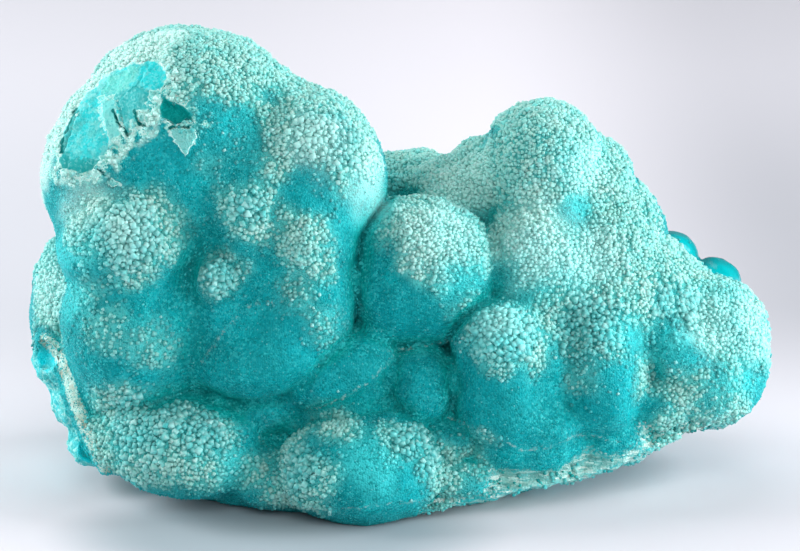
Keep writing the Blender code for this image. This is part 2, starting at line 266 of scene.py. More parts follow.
UPPER_LAYER = [
    (-44, 57.8), (-42.5, 59.6), (-38.8, 61), (-38.2, 60.2), (-38.8, 58.5),
    (-40.3, 57.2), (-43.8, 56.5),
]
MIDDLE_LAYER = [
    (-41.6, 56), (-39.7, 58.2), (-36.8, 57.2), (-35.6, 56.2), (-37.1, 53.8),
    (-38.5, 52.8), (-39.7, 51), (-40.8, 53.2),
]
THIN_CRUST = [
    (-44.2, 56), (-42.1, 56.3), (-41.3, 54.1), (-40.9, 51.9), (-41, 50.2),
    (-42.4, 49.2), (-43.4, 51.9), (-44, 54.1),
]
LOW_POCKET = [
    (-50.3, 48.5), (-48.1, 47.3), (-45.1, 47), (-42.9, 46.6), (-43.7, 45.3), (-46.6, 44.7),
    (-49.6, 45.3), (-50.3, 47),
]
LAYER_OUTLINES = {
    "bright_layer": BRIGHT_LAYER, "upper_layer": UPPER_LAYER, "middle_layer": MIDDLE_LAYER,
    "thin_crust": THIN_CRUST, "low_pocket": LOW_POCKET,
}
LAYER_HEIGHTS = {
    "bright_layer": 0.3, "upper_layer": 0.15, "middle_layer": 0.2, "thin_crust": 0.35,
}
HOLE_OUTLINE = [
    (-35.1, 54.4), (-34.4, 56.1), (-33.8, 55.5), (-32.6, 55.1), (-31.5, 54.6),
    (-30.7, 53.8), (-29.9, 52.3), (-31, 52.8), (-31.6, 52.3), (-32.9, 52),
    (-33.8, 52.6), (-34.7, 52.9),
]
HOLE_DEPTH = 1.3
SLITS = [
    [(-47.6, 54.5), (-48.3, 53), (-48.9, 51.2), (-49.5, 49.8), (-49.6, 48)],
    [(-33.5, 51.3), (-32.4, 51.7), (-30.6, 51.4)],
    [(-42, 54.1), (-41.3, 52.4), (-40.4, 51.5), (-39.8, 50.3)],
    [(-38.8, 54), (-38.2, 52.2), (-37.3, 51.8)],
    [(-44, 45.5), (-42.6, 44.1)],
]
SLIT_HALF_WIDTH = 0.24
SLIT_DEPTH = 0.7

# Where the coarse crystals stand, as balls that mark the skin they hold.
COARSE_COAT = {
    "crown": [
        Patch(-37, -2, 66, 6), Patch(-31, -5, 66, 7), Patch(-24, -7, 62.5, 7),
        Patch(-29, -12, 60.5, 4.5), Patch(-20, -6, 61, 6), Patch(-42, -4, 62.5, 4.5),
    ],
    "shoulder": [
        Patch(-16, -10, 58, 7), Patch(-10, -12, 56, 7), Patch(-19, -13.5, 53.5, 5.5),
        Patch(-9.5, -15, 51.5, 4.5), Patch(-23, -13.5, 54.5, 4), Patch(-5, -10, 53, 5),
    ],
    "brow": [Patch(-22, -18, 47, 4.5), Patch(-21, -18, 43.5, 3.5)],
    "temple": [
        Patch(-14, -19.5, 41.5, 4.5), Patch(-12, -19.5, 38, 3.5), Patch(-17, -19, 44, 3),
    ],
    "left_knob": [
        Patch(-44, -19, 43.5, 5.5), Patch(-36, -19.5, 43.5, 6), Patch(-40, -21, 41, 5),
        Patch(-38, -21, 38.5, 4),
    ],
    "valley_knob": [Patch(-26.5, -19.5, 36.7, 4)],
    "saddle": [
        Patch(1.5, 16.5, 45, 7), Patch(7.5, 2, 44, 6), Patch(10.5, 1, 45.5, 6),
    ],
    "peak": [
        Patch(20.5, -2.5, 54, 8), Patch(16.5, -4, 48, 6.5), Patch(28, -1.5, 49, 6),
        Patch(33.5, 0, 43, 7), Patch(22, -5, 46, 5),
    ],
    "hill": [
        Patch(21.5, -10.5, 38.5, 7), Patch(15, -6, 39, 5), Patch(29.5, -7, 34.5, 7),
        Patch(37, -3, 36, 7), Patch(24, -10, 35, 5),
    ],
    "slope": [
        Patch(37, -8.5, 30, 6), Patch(45, -3, 29.5, 6), Patch(50, -6.5, 24, 6),
        Patch(43, -7, 24.5, 4.5), Patch(51.5, -7, 18, 4), Patch(31, -17.5, 24.5, 3),
    ],
    "cheeks": [
        Patch(15.5, -20, 28, 6), Patch(12, -17, 29, 4), Patch(19, -20, 26, 4),
        Patch(28, -14.5, 27.5, 5.5), Patch(24, -15, 30, 5),
    ],
    "middle_ball": [
        Patch(4.5, -13.5, 41, 6.5), Patch(0, -11.5, 42, 4), Patch(10.5, -11.5, 39.5, 5),
        Patch(5, -16, 37, 3.5),
    ],
    "back_left": [Patch(-52, -4, 28, 5), Patch(-54, -1, 32, 4), Patch(-52, -4, 23, 4)],
    "end": [
        Patch(50, -7, 13, 4), Patch(42, -11, 16, 4), Patch(40, -12, 11, 3.5),
        Patch(44, -11, 11, 3), Patch(54, -1, 20, 4), Patch(37, -14, 19, 3),
    ],
    "apron": [
        Patch(-41, -18.5, 15, 5), Patch(-34.5, -22.5, 14.5, 6), Patch(-30, -25, 9.5, 4.5),
        Patch(-27.5, -22.5, 13.5, 4.5), Patch(-36.5, -24.5, 10, 6), Patch(-42, -17, 10, 5),
        Patch(-16, -21, 11.5, 4), Patch(-9, -23.5, 14.5, 3.5), Patch(-13, -29, 8, 4),
        Patch(-17, -25, 4, 4), Patch(-21, -24, 8, 3), Patch(-14, -29, 3, 3.5),
        Patch(-15, -25, 9, 4), Patch(0, -25, 13.5, 3.5), Patch(3, -23, 9.5, 4),
        Patch(6, -20, 6, 5), Patch(9, -18, 7, 4),
    ],
}

# Where they stand only here and there, as seen from the front.
THIN_COAT = [
    Spot(-42.9, 21.9, 4.4), Spot(-37, 19.7, 4.4), Spot(-45.1, 27.8, 3), Spot(-23.7, 41.1, 4.4),
    Spot(-25.9, 47, 3.7), Spot(-17.8, 36.7, 3.7), Spot(-14.8, 27.8, 3.7), Spot(-11.1, 23.4, 3),
    Spot(-29.6, 54.4, 3.7), Spot(27.4, 16, 3.7), Spot(31.1, 21.9, 3),
    Spot(41.4, 14.5, 3.7), Spot(47.4, 11.5, 3.7), Spot(44.4, 20.4, 3), Spot(-40, 3.4, 3.7),
    Spot(-32.6, 5.6, 3), Spot(-10.4, 8.6, 3), Spot(0, 5.6, 3), Spot(11.8, 5.6, 2.2),
]
THIN_SHARE = 0.5

# Where the coat is worn off between them, as seen from the front.
WORN_SPOTS = [
    Spot(-24.4, 50.5, 4.8), Spot(-27.6, 53.8, 3.2), Spot(-23.5, 46, 3.5), Spot(-19, 56, 1.8),
    Spot(-13, 43, 3.5), Spot(-9.5, 49, 1.5), Spot(40.7, 20.6, 3.4), Spot(52.5, 14.5, 2.2),
    Spot(31.5, 15.5, 2.5), Spot(25, 39, 2.5),
]
WORN_SHARE = 0.8

# Where the crystals are bigger still.
BIG_GRAINS = [
    Patch(-37, -20, 13.5, 6.5), Patch(-29, -22.5, 14, 5.5), Patch(-26.5, -19.5, 36.7, 4),
    Patch(-40, -20, 42, 6), Patch(-14, -26, 10, 5), Patch(2, -24, 12, 5),
    Patch(15, -19, 28, 6), Patch(28, -14.5, 26, 6), Patch(-10, -12, 55, 6),
    Patch(-22, -18, 46, 3.5), Patch(40, -7, 26, 6),
]

# Where a pale glow is painted on thin edges.
PAINTED_GLOW_EDGES = [
    Patch(-52, -3, 46, 4), Patch(-51, -5, 50.5, 5), Patch(-49, -6, 55, 4.5),
    Patch(-46, -6, 59, 4), Patch(-42, -5, 63, 4), Patch(-38, -3, 66, 4.5),
    Patch(-45, -1, 61.5, 4.5), Patch(-40, 1, 65.5, 4.5), Patch(-35.5, 1, 67.5, 4),
]
# Where pools of light are painted pale on the skin.
PAINTED_LIGHT_SPOTS = [
    Patch(28.5, -1.5, 48, 5), Patch(28, -8, 36, 5), Patch(-4, -10, 49, 6),
    Patch(6, -12, 43, 7), Patch(54, -2, 24, 6), Patch(15, -19, 29, 3.5),
    Patch(20, -9, 40, 7), Patch(-46, -15, 46, 5), Patch(-12, -13, 55, 5),
    Patch(-40, -20, 43, 4), Patch(46, -6, 24, 5), Patch(-53, -2, 30, 6),
    Patch(5, -14, 42, 6), Patch(9, 2, 46, 6), Patch(21, -10, 38, 6),
]

# Where the skin is smooth, with no crystals big enough to see.
SMOOTH_SKIN = [
    Patch(-33.5, -15, 52.5, 5), Patch(-28, -15, 53, 3.5), Patch(-11, -15.5, 48, 2.5),
    Patch(-16, -16.5, 47, 2), Patch(-7, -14, 45, 5), Patch(-46.5, -19, 36, 6),
    Patch(-44, -20, 33, 5), Patch(-38, -21, 21, 5), Patch(-17, -21.5, 26, 6),
    Patch(-24, -23.7, 8, 3.5), Patch(-4, -30, 10.5, 6), Patch(0, -27, 8, 4),
    Patch(3.7, -16.5, 30, 6), Patch(15, -23, 20, 6), Patch(15, -22, 14, 4),
    Patch(28.5, -20, 18, 5), Patch(26.5, -3.5, 43, 2.5), Patch(-8, -20, 20, 5),
]

# Thin pale lines where one layer of growth ends on the next, as seen from the
# front, across and up.
CHIN_RIDGE = [(-28.9, 17.3), (-25.6, 22), (-21.9, 25.6), (-16.8, 26.4)]
LEDGES = [
    [(6.6, 9.2), (12.5, 7), (17.9, 4.3), (22, 4.8), (25.2, 6.3), (28.6, 6.3),
     (31.5, 5.5), (34.8, 4.5)],
    [(-13.9, 9.9), (-8.8, 11.7), (-4.4, 14.6), (-0.9, 18)],
    [(-2.4, 19), (0, 19), (2.9, 19.4), (5.9, 20), (7.6, 20.5)],
    [(-22.9, -2.1), (-14.8, -3.7), (-7.4, -4), (-0.7, -3), (5.9, -2.8), (14.8, -0.9),
     (23.7, 0.6), (32.6, 2)],
    CHIN_RIDGE,
]
LEDGE_HEIGHT = 0.2
LEDGE_HALF_WIDTH = 0.3

# Loose flakes of crust, as seen from the front.
FLAKES = [
    [(-43, 43.5), (-42.1, 44.1), (-41, 43.8), (-40.5, 43.2), (-41.6, 42.8), (-42.6, 42.9)],
    [(-33.7, 51.2), (-31.5, 51.6), (-29.6, 51.3), (-29.4, 50), (-31.2, 47.2), (-32.4, 49)],
    [(-36.7, 56.9), (-35.3, 57.3), (-34.9, 55.8), (-36, 55.2), (-37, 56)],
    [(-38.2, 53.9), (-37, 53.5), (-37.2, 52), (-38.1, 52.4)],
    [(-49.8, 45.3), (-48.7, 45.6), (-48.2, 44.3), (-49.3, 44.1)],
    [(-43.9, 47.3), (-42.8, 47.6), (-42.5, 46.2), (-43.6, 46)],
]
FLAKE_HEIGHT = 0.35

# Where glow is painted on, as though the stone let most light through there, as seen from the
# front.
GLOW_SPOTS = [
    Spot(-3.5, 43, 3.5), Spot(-4.5, 39, 3), Spot(8.9, 30.5, 3.5), Spot(25.9, 32.2, 5),
    Spot(26.9, 46.3, 3.5), Spot(26.3, 40.4, 2.5), Spot(34, 21.1, 2.5), Spot(48.1, 23.4, 5),
    Spot(52, 20.4, 4.5), Spot(52.5, 15, 3), Spot(-3.7, 1.9, 4), Spot(-24.4, 2.3, 2),
    Spot(-50.3, 33, 3), Spot(-48.5, 27, 3), Spot(41, 19.7, 2), Spot(-45.5, 34, 3),
    Spot(14.5, 22, 4), Spot(8, 37, 4), Spot(20, 31, 5), Spot(-52, 30, 3),
]

# Crystal sizes and how close they stand, in millimetres.
BIG_SIZE = 0.76
BIG_SPACING = 0.66
COARSE_SIZE = 0.54
COARSE_SPACING = 0.48
FINE_SIZE = 0.34
FINE_SPACING = 0.3
SQUASH = 0.82
LIFT = {"big": 0.22, "coarse": 0.15, "fine": 0.08}
LIFT_SEED = 3
SIZE_AT_EDGE = 0.55
FULL_COAT = 0.8
SMALLEST, LARGEST = 0.7, 1.35
TILT = 0.7

# The crystals are kept in several pieces, split across the length.
BIG_SPLITS = ()
COARSE_SPLITS = (-34, -22, -9, 12, 24, 37)
FINE_SPLITS = (-20, 10)

# Colours, as linear red, green and blue.
TEAL = (0.0, 0.29, 0.315, 1)
TURQUOISE = (0.0, 0.37, 0.41, 1)
DEEP = (0.0, 0.25, 0.255, 1)
# Painted shade in the clefts, where the skin is shut in.
SHADE_TEAL = (0.0, 0.36, 0.34, 1)
# Painted dark shade in the narrow creases.
CREASE_SHADE_TEAL = (0.0, 0.14, 0.14, 1)
# Painted shade at the bases of the crystals, between the grains.
GAP_SHADE_TEAL = (0.07, 0.50, 0.46, 1)
HAZE = (0.003, 0.50, 0.53, 1)
SPECK = (0.05, 0.63, 0.64, 1)
# A painted glow where the stone would let light through.
GLOW = (0.07, 0.76, 0.77, 1)
MINT = (0.37, 0.67, 0.60, 1)
SEA_GREEN = (0.14, 0.62, 0.57, 1)
# FROST is the crystals' own frost, and also the painted highlight on crystal tips and the painted
# glints.
FROST = (0.62, 0.86, 0.80, 1)
BRIGHT_CYAN = (0.03, 0.68, 0.70, 1)
SHARD_CYAN = (0.07, 0.66, 0.69, 1)
SCOOP_CYAN = (0.0, 0.68, 0.76, 1)
LAYER_TEAL = (0.04, 0.46, 0.46, 1)
POCKET_TEAL = (0.01, 0.38, 0.37, 1)
LAYER_MINT = (0.16, 0.70, 0.61, 1)
FLAKE_TEAL = (0.11, 0.54, 0.51, 1)
SOFT_CYAN = (0.10, 0.60, 0.58, 1)
PASTEL_CYAN = (0.26, 0.74, 0.72, 1)
# PALE_RIM is the crust's pale edge, and also the painted glow and the painted light.
PALE_RIM = (0.58, 0.93, 0.86, 1)
HOLE_TEAL = (0.0, 0.38, 0.36, 1)
SLIT_TEAL = (0.0, 0.20, 0.19, 1)
TAN = (0.37, 0.45, 0.35, 1)
CREAM = (0.52, 0.80, 0.72, 1)
PALE_MINT = (0.30, 0.80, 0.72, 1)
LIP_MINT = (0.32, 0.66, 0.61, 1)
GLASSY_TEAL = (0.0, 0.40, 0.43, 1)
# Painted shade at the glassy knobs' outlines.
GLASSY_RIM_SHADE = (0.0, 0.27, 0.29, 1)
FLOOR_COLOUR = (0.72, 0.71, 0.765, 1)
# Painted shade on the paper behind the stone, on the left and on the right.
FLOOR_LEFT_SHADE = (0.55, 0.565, 0.615, 1)
FLOOR_RIGHT_SHADE = (0.40, 0.41, 0.45, 1)
# A painted teal-grey shadow on the paper before the foot.
FLOOR_PAINTED_SHADOW = (0.12, 0.24, 0.28, 1)

# The studio, in metres: each lamp's name, place, width, power and colour, the
# floor from its front edge back and up into the wall, and the painted shadow
# before the foot.
LAMPS = [
    ("top", (-0.05, 0.4, 0.62), 0.5, 1.4, (1, 0.99, 0.98)),
    ("left", (-0.65, 0.15, 0.3), 0.5, 6.2, (1, 1, 1)),
    ("right", (0.65, 0.05, 0.3), 0.5, 5.8, (0.98, 0.99, 1)),
    ("right_low", (0.6, -0.35, 0.14), 0.4, 2.4, (0.98, 0.99, 1)),
    ("front", (0, -0.7, 0.5), 0.6, 2.8, (1, 1, 1)),
]
LAMP_AIM = Vector((0, 0, 0.03))
WORLD_COLOUR = (0.93, 0.94, 1.0, 1)
WORLD_STRENGTH = 0.12
FLOOR_HALF_WIDTH = 1.5
FLOOR_PROFILE = [
    (-1.2, 0), (1.0, 0), (1.2, 0.03), (1.35, 0.12), (1.45, 0.28), (1.5, 0.5), (1.5, 1.6),
]
# Where the painted shadow before the foot lies, and how far it reaches.
SHADOW_MIDDLE = (-0.018, -0.03)
SHADOW_HALF_SIZES = (0.036, 0.022)
CAMERA_AIM = Vector((0, 0, 0.031))
CAMERA_DISTANCE = 0.65
SENSOR_WIDTH = 36
LENS = 195
CLIP_START = 0.05


def along(path, steps, half_sizes, blend):
    """Small lobes set closely along a path, so many to each stretch of it."""
    lobes = []
    for start, end in zip(path, path[1:]):
        for step in range(steps):
            share = step / steps
            point = [a + (b - a) * share for a, b in zip(start, end)]
            lobes.append(Lobe("path", *point, *half_sizes, blend))
    return lobes


def all_growths():
    lip = along(LIP_PATH, LIP_STEPS, LIP_HALF_SIZES, LIP_BLEND)
    band = along(BAND_PATH, BAND_STEPS, BAND_HALF_SIZES, BAND_BLEND)
    return [
        BASE, TOWER, SADDLE, PEAK, HILL, CHEEK, CHEEK_RIGHT, THROAT, JAW_LOW, JAW,
        BALL, CHEEK_LEFT, SKIRT_LEFT, SKIRT, APRON_LEFT, APRON_FRONT, APRON_LINK,
        BACK, BACK_LEFT, GLASSY_KNOBS, BROKEN_EDGE,
        Growth(LIP_BLEND, lip), Growth(BAND_CREASE, band),
    ]


def lobe_matrix(lobe):
    """Places, leans and stretches a ball of radius 1."""
    place = Matrix.Translation(Vector((lobe.x, lobe.y, lobe.z)) * MM)
    lean = Matrix.Rotation(math.radians(lobe.lean), 4, "Y")
    stretch = Matrix.Diagonal((lobe.across, lobe.deep, lobe.tall, 1 / MM)) * MM
    return place @ lean @ stretch


def new_piece(name, mesh):
    piece = bpy.data.objects.new(name, mesh)
    bpy.context.scene.collection.objects.link(piece)
    return piece


def piece_from(shape, name):
    mesh = bpy.data.meshes.new(name)
    shape.to_mesh(mesh)
    shape.free()
    return new_piece(name, mesh)


def heap_of_balls():
    """The lobes as overlapping balls in one mesh."""
    shape = bmesh.new()
    for growth in all_growths():
        for lobe in growth.lobes:
            bmesh.ops.create_icosphere(
                shape,
                subdivisions=BALL_SUBDIVISIONS,
                radius=1,
                matrix=lobe_matrix(lobe),
            )
    return piece_from(shape, "stone_skin")


def print_triangles(piece):
    print(piece.name, sum(len(face.vertices) - 2 for face in piece.data.polygons), "triangles")


def apply_modifiers(piece):
    graph = bpy.context.evaluated_depsgraph_get()
    finished = bpy.data.meshes.new_from_object(piece.evaluated_get(graph))
    piece.modifiers.clear()
    piece.data = finished


def join_balls(skin):
    """Makes one skin of the balls, with even faces."""
    join = skin.modifiers.new("join", "REMESH")
    join.mode = "VOXEL"
    join.voxel_size = VOXEL
    apply_modifiers(skin)


def distance_to_ellipsoid(points, shape, lean=0):
    """Roughly how far each point lies outside an ellipsoid."""
    offset = points - np.array((shape.x, shape.y, shape.z))
    if lean:
        back = math.radians(lean)
        across = offset[:, 0] * math.cos(back) - offset[:, 2] * math.sin(back)
        up = offset[:, 0] * math.sin(back) + offset[:, 2] * math.cos(back)
        offset = np.stack([across, offset[:, 1], up], axis=1)
    half_sizes = np.array((shape.across, shape.deep, shape.tall))
    near = np.linalg.norm(offset / half_sizes, axis=1) + 1e-9
    steep = np.linalg.norm(offset / half_sizes**2, axis=1) + 1e-9
    return near * (near - 1) / steep


def soft_union(first, second, blend):
    """The nearer of two distances, rounded over where they are alike."""
    nearer = np.minimum(first, second)
    if blend <= 0:
        return nearer
    alike = np.maximum(blend - np.abs(first - second), 0) / blend
    return nearer - alike**2 * blend / 4


def lobes_near(lobes, centre):
    """The lobes that reach into the cell of space round a centre."""
    far = CELL * math.sqrt(3) / 2 + CELL_MARGIN
    near = []
    for lobe in lobes:
        gap = math.dist(centre, (lobe.x, lobe.y, lobe.z))
        if gap < max(lobe.across, lobe.deep, lobe.tall) + far:
            near.append(lobe)
    return near


def distance_to_growth(points, growth):
    distance = distance_to_ellipsoid(points, growth.lobes[0], growth.lobes[0].lean)
    for lobe in growth.lobes[1:]:
        ball = distance_to_ellipsoid(points, lobe, lobe.lean)
        distance = soft_union(distance, ball, lobe.blend)
    return distance


def distance_in_cell(points, centre):
    """How far points outside the mass lie, in the cell of space round a centre."""
    distance = np.full(len(points), float(2 * CELL))
    for growth in all_growths():
        near = lobes_near(growth.lobes, centre)
        if near:
            grown = distance_to_growth(points, Growth(growth.crease, near))
            distance = soft_union(distance, grown, growth.crease)
    for hollow in lobes_near(HOLLOWS, centre):
        distance = np.maximum(distance, -distance_to_ellipsoid(points, hollow))
    return distance


def distance_to_mass(points):
    """How far each point lies outside the finished mass, in millimetres."""
    cells = np.floor(points / CELL)
    kinds, cell_of = np.unique(cells, axis=0, return_inverse=True)
    order = np.argsort(cell_of.ravel(), kind="stable")
    ends = np.cumsum(np.bincount(cell_of.ravel()))
    distance = np.empty(len(points))
    for kind, here in zip(kinds, np.split(order, ends[:-1])):
        distance[here] = distance_in_cell(points[here], (kind + 0.5) * CELL)
    return distance


def slope_of(points, distance):
    """The direction in which the distance grows, at each point."""
    slopes = []
    for axis in np.eye(3):
        further = distance_to_mass(points + SLOPE_STEP * axis)
        slopes.append((further - distance) / SLOPE_STEP)
    slope = np.stack(slopes, axis=1)
    return slope / (np.linalg.norm(slope, axis=1, keepdims=True) + 1e-6)


def gap_to_line(places, start, end):
    """How far each place is from a straight stretch."""
    start, run = np.array(start, float), np.array(end, float) - start
    share = np.clip((places - start) @ run / (run @ run), 0, 1)
    return np.linalg.norm(places - start - share[:, None] * run, axis=1)


def gap_to_path(places, path):
    gaps = [gap_to_line(places, start, end) for start, end in zip(path, path[1:])]
    return np.min(gaps, axis=0)


def depth_inside(places, outline):
    """How far each place lies inside a closed outline; negative outside."""
    across, up = places[:, 0], places[:, 1]
    inside = np.zeros(len(places), bool)
    for (x0, y0), (x1, y1) in zip(outline, outline[1:] + outline[:1]):
        if y0 == y1:
            continue
        crosses = (y0 > up) != (y1 > up)
        crossing_x = x0 + (up - y0) * (x1 - x0) / (y1 - y0)
        inside ^= crosses & (across < crossing_x)
    gap = gap_to_path(places, outline + outline[:1])
    return np.where(inside, gap, -gap)


def front_view(points):
    """Each point's place across and up, seen from the front and a little above."""
    up = points[:, 2] * math.cos(VIEW_SLOPE) + points[:, 1] * math.sin(VIEW_SLOPE)
    return np.stack([points[:, 0], up], axis=1)


def rise(value, low, high):
    """0 below low, 1 above high and an even curve between."""
    share = np.clip((value - low) / (high - low), 0, 1)
    return share * share * (3 - 2 * share)


def noise_at(points, wave, seed=0):
    """Smooth noise between about -1 and 1, at each point."""
    shift = Vector((seed * 17.3, seed * 5.1, seed * 9.7))
    return np.array([noise.noise(Vector(point) / wave + shift) for point in points])


def rows_of(items, name):
    """Three values for each of a mesh's vertices or faces."""
    values = np.empty(len(items) * 3)
    items.foreach_get(name, values)
    return values.reshape(-1, 3)


def points_of(mesh):
    return rows_of(mesh.vertices, "co") / MM


def put_points(mesh, points):
    mesh.vertices.foreach_set("co", (points * MM).ravel())
    mesh.update()


def draw_on(points, steps):
    """Moves points onto the lobes."""
    for _ in range(steps):
        distance = distance_to_mass(points)
        step = np.clip(distance, -LONGEST_STEP, LONGEST_STEP)
        points = points - slope_of(points, distance) * step[:, None]
    return points


def ragged_depth(places, inside, reach, uneven):
    """Makes the depth inside an outline uneven, as far as a reach from it."""
    near = np.abs(inside) < reach
    flat = np.column_stack([places, np.zeros(len(places))])[near]
    ragged = np.zeros(len(places))
    ragged[near] = sum(height * noise_at(flat, wave, seed) for height, wave, seed in uneven)
    return inside + ragged


def break_depth(points):
    """How far inside the broken place's ragged outline each point lies."""
    places = front_view(points)
    inside = ragged_depth(places, depth_inside(places, BREAK_OUTLINE), 3, BREAK_NOISE)
    return np.where(points[:, 1] < BREAK_BACK, inside, -20)


def flake_height(places):
    """How far the loose flakes stand out at each place seen from the front."""
    inside = np.max([depth_inside(places, outline) for outline in FLAKES], axis=0)
    return FLAKE_HEIGHT * rise(ragged_depth(places, inside, 1.5, FLAKE_NOISE), -0.1, 0.15)


def gap_to_paths(places, paths):
    return np.min([gap_to_path(places, path) for path in paths], axis=0)


def broken_relief(points, inside):
    """How far the skin lies below the crust in the broken place."""
    places = front_view(points)
    upper_left = rise((places - BREAK_MIDDLE) @ np.array((-0.75, 0.66)), -1, 2)
    open_share = rise(inside, -BREAK_EDGE / 2, BREAK_EDGE / 2 + SLOPING_EDGE * upper_left)
    depth = CRUST * open_share
    for name, height in LAYER_HEIGHTS.items():
        layer = depth_inside(places, LAYER_OUTLINES[name])
        depth -= height * rise(layer, -0.1, 0.15) * open_share
    slit = gap_to_paths(places, SLITS)
    depth += SLIT_DEPTH * (1 - rise(slit, 0, SLIT_HALF_WIDTH)) * (points[:, 1] < BREAK_BACK)
    hole = depth_inside(places, HOLE_OUTLINE)
    depth += HOLE_DEPTH * rise(hole, -0.15, 0.3) * (points[:, 1] < HOLE_BACK)
    return depth - flake_height(places) * (points[:, 1] < HOLE_BACK)


def gap_to_crust_edge(points):
    """How far each point is from the ragged edges of the crust: lip, band and shards."""
    lip = gap_to_path(points, LIP_PATH) - LIP_REACH
    band = gap_to_path(points, BAND_PATH) - BAND_REACH
    shards = [distance_to_ellipsoid(points, shard) for shard in BROKEN_EDGE.lobes]
    return np.min([lip, band] + shards, axis=0)


def refine_break(skin):
    """Cuts the faces of the broken place small enough for its ragged edges."""
    shape = bmesh.new()
    shape.from_mesh(skin.data)
    centres = np.array([face.calc_center_median() for face in shape.faces]) / MM
    inside = depth_inside(front_view(centres), BREAK_OUTLINE)
    hole = depth_inside(front_view(centres), HOLE_OUTLINE)
    flakes = flake_height(front_view(centres)) > 0
    wanted = ((np.maximum(inside, hole) > -1.2) | flakes) & (centres[:, 1] < BREAK_BACK)
    faces = [face for face, here in zip(shape.faces, wanted) if here]
    edges = list({edge for face in faces for edge in face.edges})
    bmesh.ops.subdivide_edges(
        shape, edges=edges, cuts=BREAK_FINE_CUTS, use_grid_fill=True
    )
    shape.to_mesh(skin.data)
    shape.free()


def settle(skin):
    """Draws the skin onto the lobes, then makes it uneven and opens the break."""
    mesh = skin.data
    put_points(mesh, draw_on(points_of(mesh), SETTLING_STEPS))
    refine_break(skin)
    points = draw_on(points_of(mesh), 2)
    outward = slope_of(points, distance_to_mass(points))
    heights = np.full(len(points), -COAT_DEPTH)
    for height, wave in SWELLS:
        heights += height * noise_at(points, wave)
    ledge = gap_to_paths(front_view(points), LEDGES)
    on_front = rise(-outward[:, 1], 0, 0.4)
    heights += LEDGE_HEIGHT * (1 - rise(ledge, 0, LEDGE_HALF_WIDTH)) * on_front
    crumbs = gap_to_crust_edge(points)
    heights += CRUMB_HEIGHT * noise_at(points, CRUMB_WAVE, 5) * (1 - rise(crumbs, 0.3, 1.5))
    heights -= broken_relief(points, break_depth(points))
    put_points(mesh, points + outward * heights[:, None])


def cut_base(skin):
    """Cuts the base flat at Z = 0 and closes it."""
    shape = bmesh.new()
    shape.from_mesh(skin.data)
    everything = shape.verts[:] + shape.edges[:] + shape.faces[:]
    bmesh.ops.bisect_plane(
        shape, geom=everything, plane_co=(0, 0, 0), plane_no=(0, 0, -1), clear_outer=True
    )
    rim = [edge for edge in shape.edges if edge.is_boundary]
    bmesh.ops.holes_fill(shape, edges=rim, sides=0)
    bmesh.ops.triangulate(
        shape, faces=[face for face in shape.faces if len(face.verts) > 4]
    )
    shape.to_mesh(skin.data)
    shape.free()


def inside_patches(points, patches, ragged, soft):
    """1 well inside any of the patches or spots, 0 outside, ragged between."""
    held = np.zeros(len(points))
    for patch in patches:
        gap = np.linalg.norm(points - np.array(patch[:-1]), axis=1) + ragged
        held = np.maximum(held, 1 - rise(gap, patch.reach - soft, patch.reach + soft))
    return held


def openness(points, normals, reaches):
    """How free the skin is on its outer side: low in clefts, 1 on bulges."""
    own = distance_to_mass(points)
    free = np.zeros(len(points))
    for reach in reaches:
        free += (distance_to_mass(points + normals * reach) - own) / reach
    return np.clip(free / len(reaches), 0, 1)


def knob_share(points, lobes):
    """1 on the skin of the lobes named, 0 elsewhere."""
    nearest = np.min([distance_to_ellipsoid(points, lobe) for lobe in lobes], axis=0)
    return 1 - rise(nearest, 0, 0.8)


def rim_of_knobs(places):
    """How near each place is to the outline of a glassy knob: 1 on it."""
    nearness = []
    for knob in GLASSY_KNOBS.lobes:
        up = knob.z * math.cos(VIEW_SLOPE) + knob.y * math.sin(VIEW_SLOPE)
        tall = math.hypot(knob.tall * math.cos(VIEW_SLOPE), knob.deep * math.sin(VIEW_SLOPE))
        nearness.append(
            np.hypot((places[:, 0] - knob.x) / knob.across, (places[:, 1] - up) / tall)
        )
    nearest = np.min(nearness, axis=0)
    return rise(nearest, 0.72, 0.95) * (nearest < 1.2)


def mark(mesh, name, values):
    layer = mesh.attributes.new(name, "FLOAT", "POINT")
    layer.data.foreach_set("value", values.astype(np.float32))


def break_marks(points, places, inside, front):
    """Where the broken place, its layers, its hole, the cracks and the flakes are."""
    hole = depth_inside(places, HOLE_OUTLINE)
    slit = gap_to_paths(places, SLITS) + 0.3 * noise_at(points, 0.6, 10)
    marks = {
        "inside_break": inside * (front > 0.3) - 5 * (front <= 0.3),
        "inside_hole": np.where(points[:, 1] < HOLE_BACK, hole, -5),
        "slit_gap": np.where(points[:, 1] < BREAK_BACK, slit, FAR),
        "flake": flake_height(places) / FLAKE_HEIGHT * front,
    }
    for name, outline in LAYER_OUTLINES.items():
        marks[name] = depth_inside(places, outline)
    return marks


def edge_marks(points, places):
    """Where the glassy knobs, the shards, the lip and the band are."""
    knobs, shards = GLASSY_KNOBS.lobes, BROKEN_EDGE.lobes
    scoops = [distance_to_ellipsoid(points, hollow) for hollow in SCOOPS]
    band_seen = [tuple(place) for place in front_view(np.array(BAND_PATH, float))]
    near_band = gap_to_path(points, BAND_PATH) < 2 * BAND_REACH
    return {
        "glassy": knob_share(points, knobs + shards),
        "shard": knob_share(points, shards),
        "scoop": 1 - rise(np.min(scoops, axis=0), 0.2, 0.8),
        "knob_rim": rim_of_knobs(places),
        "lip_gap": gap_to_path(points, LIP_PATH),
        "band_gap": np.where(near_band, gap_to_path(places, band_seen), FAR),
    }


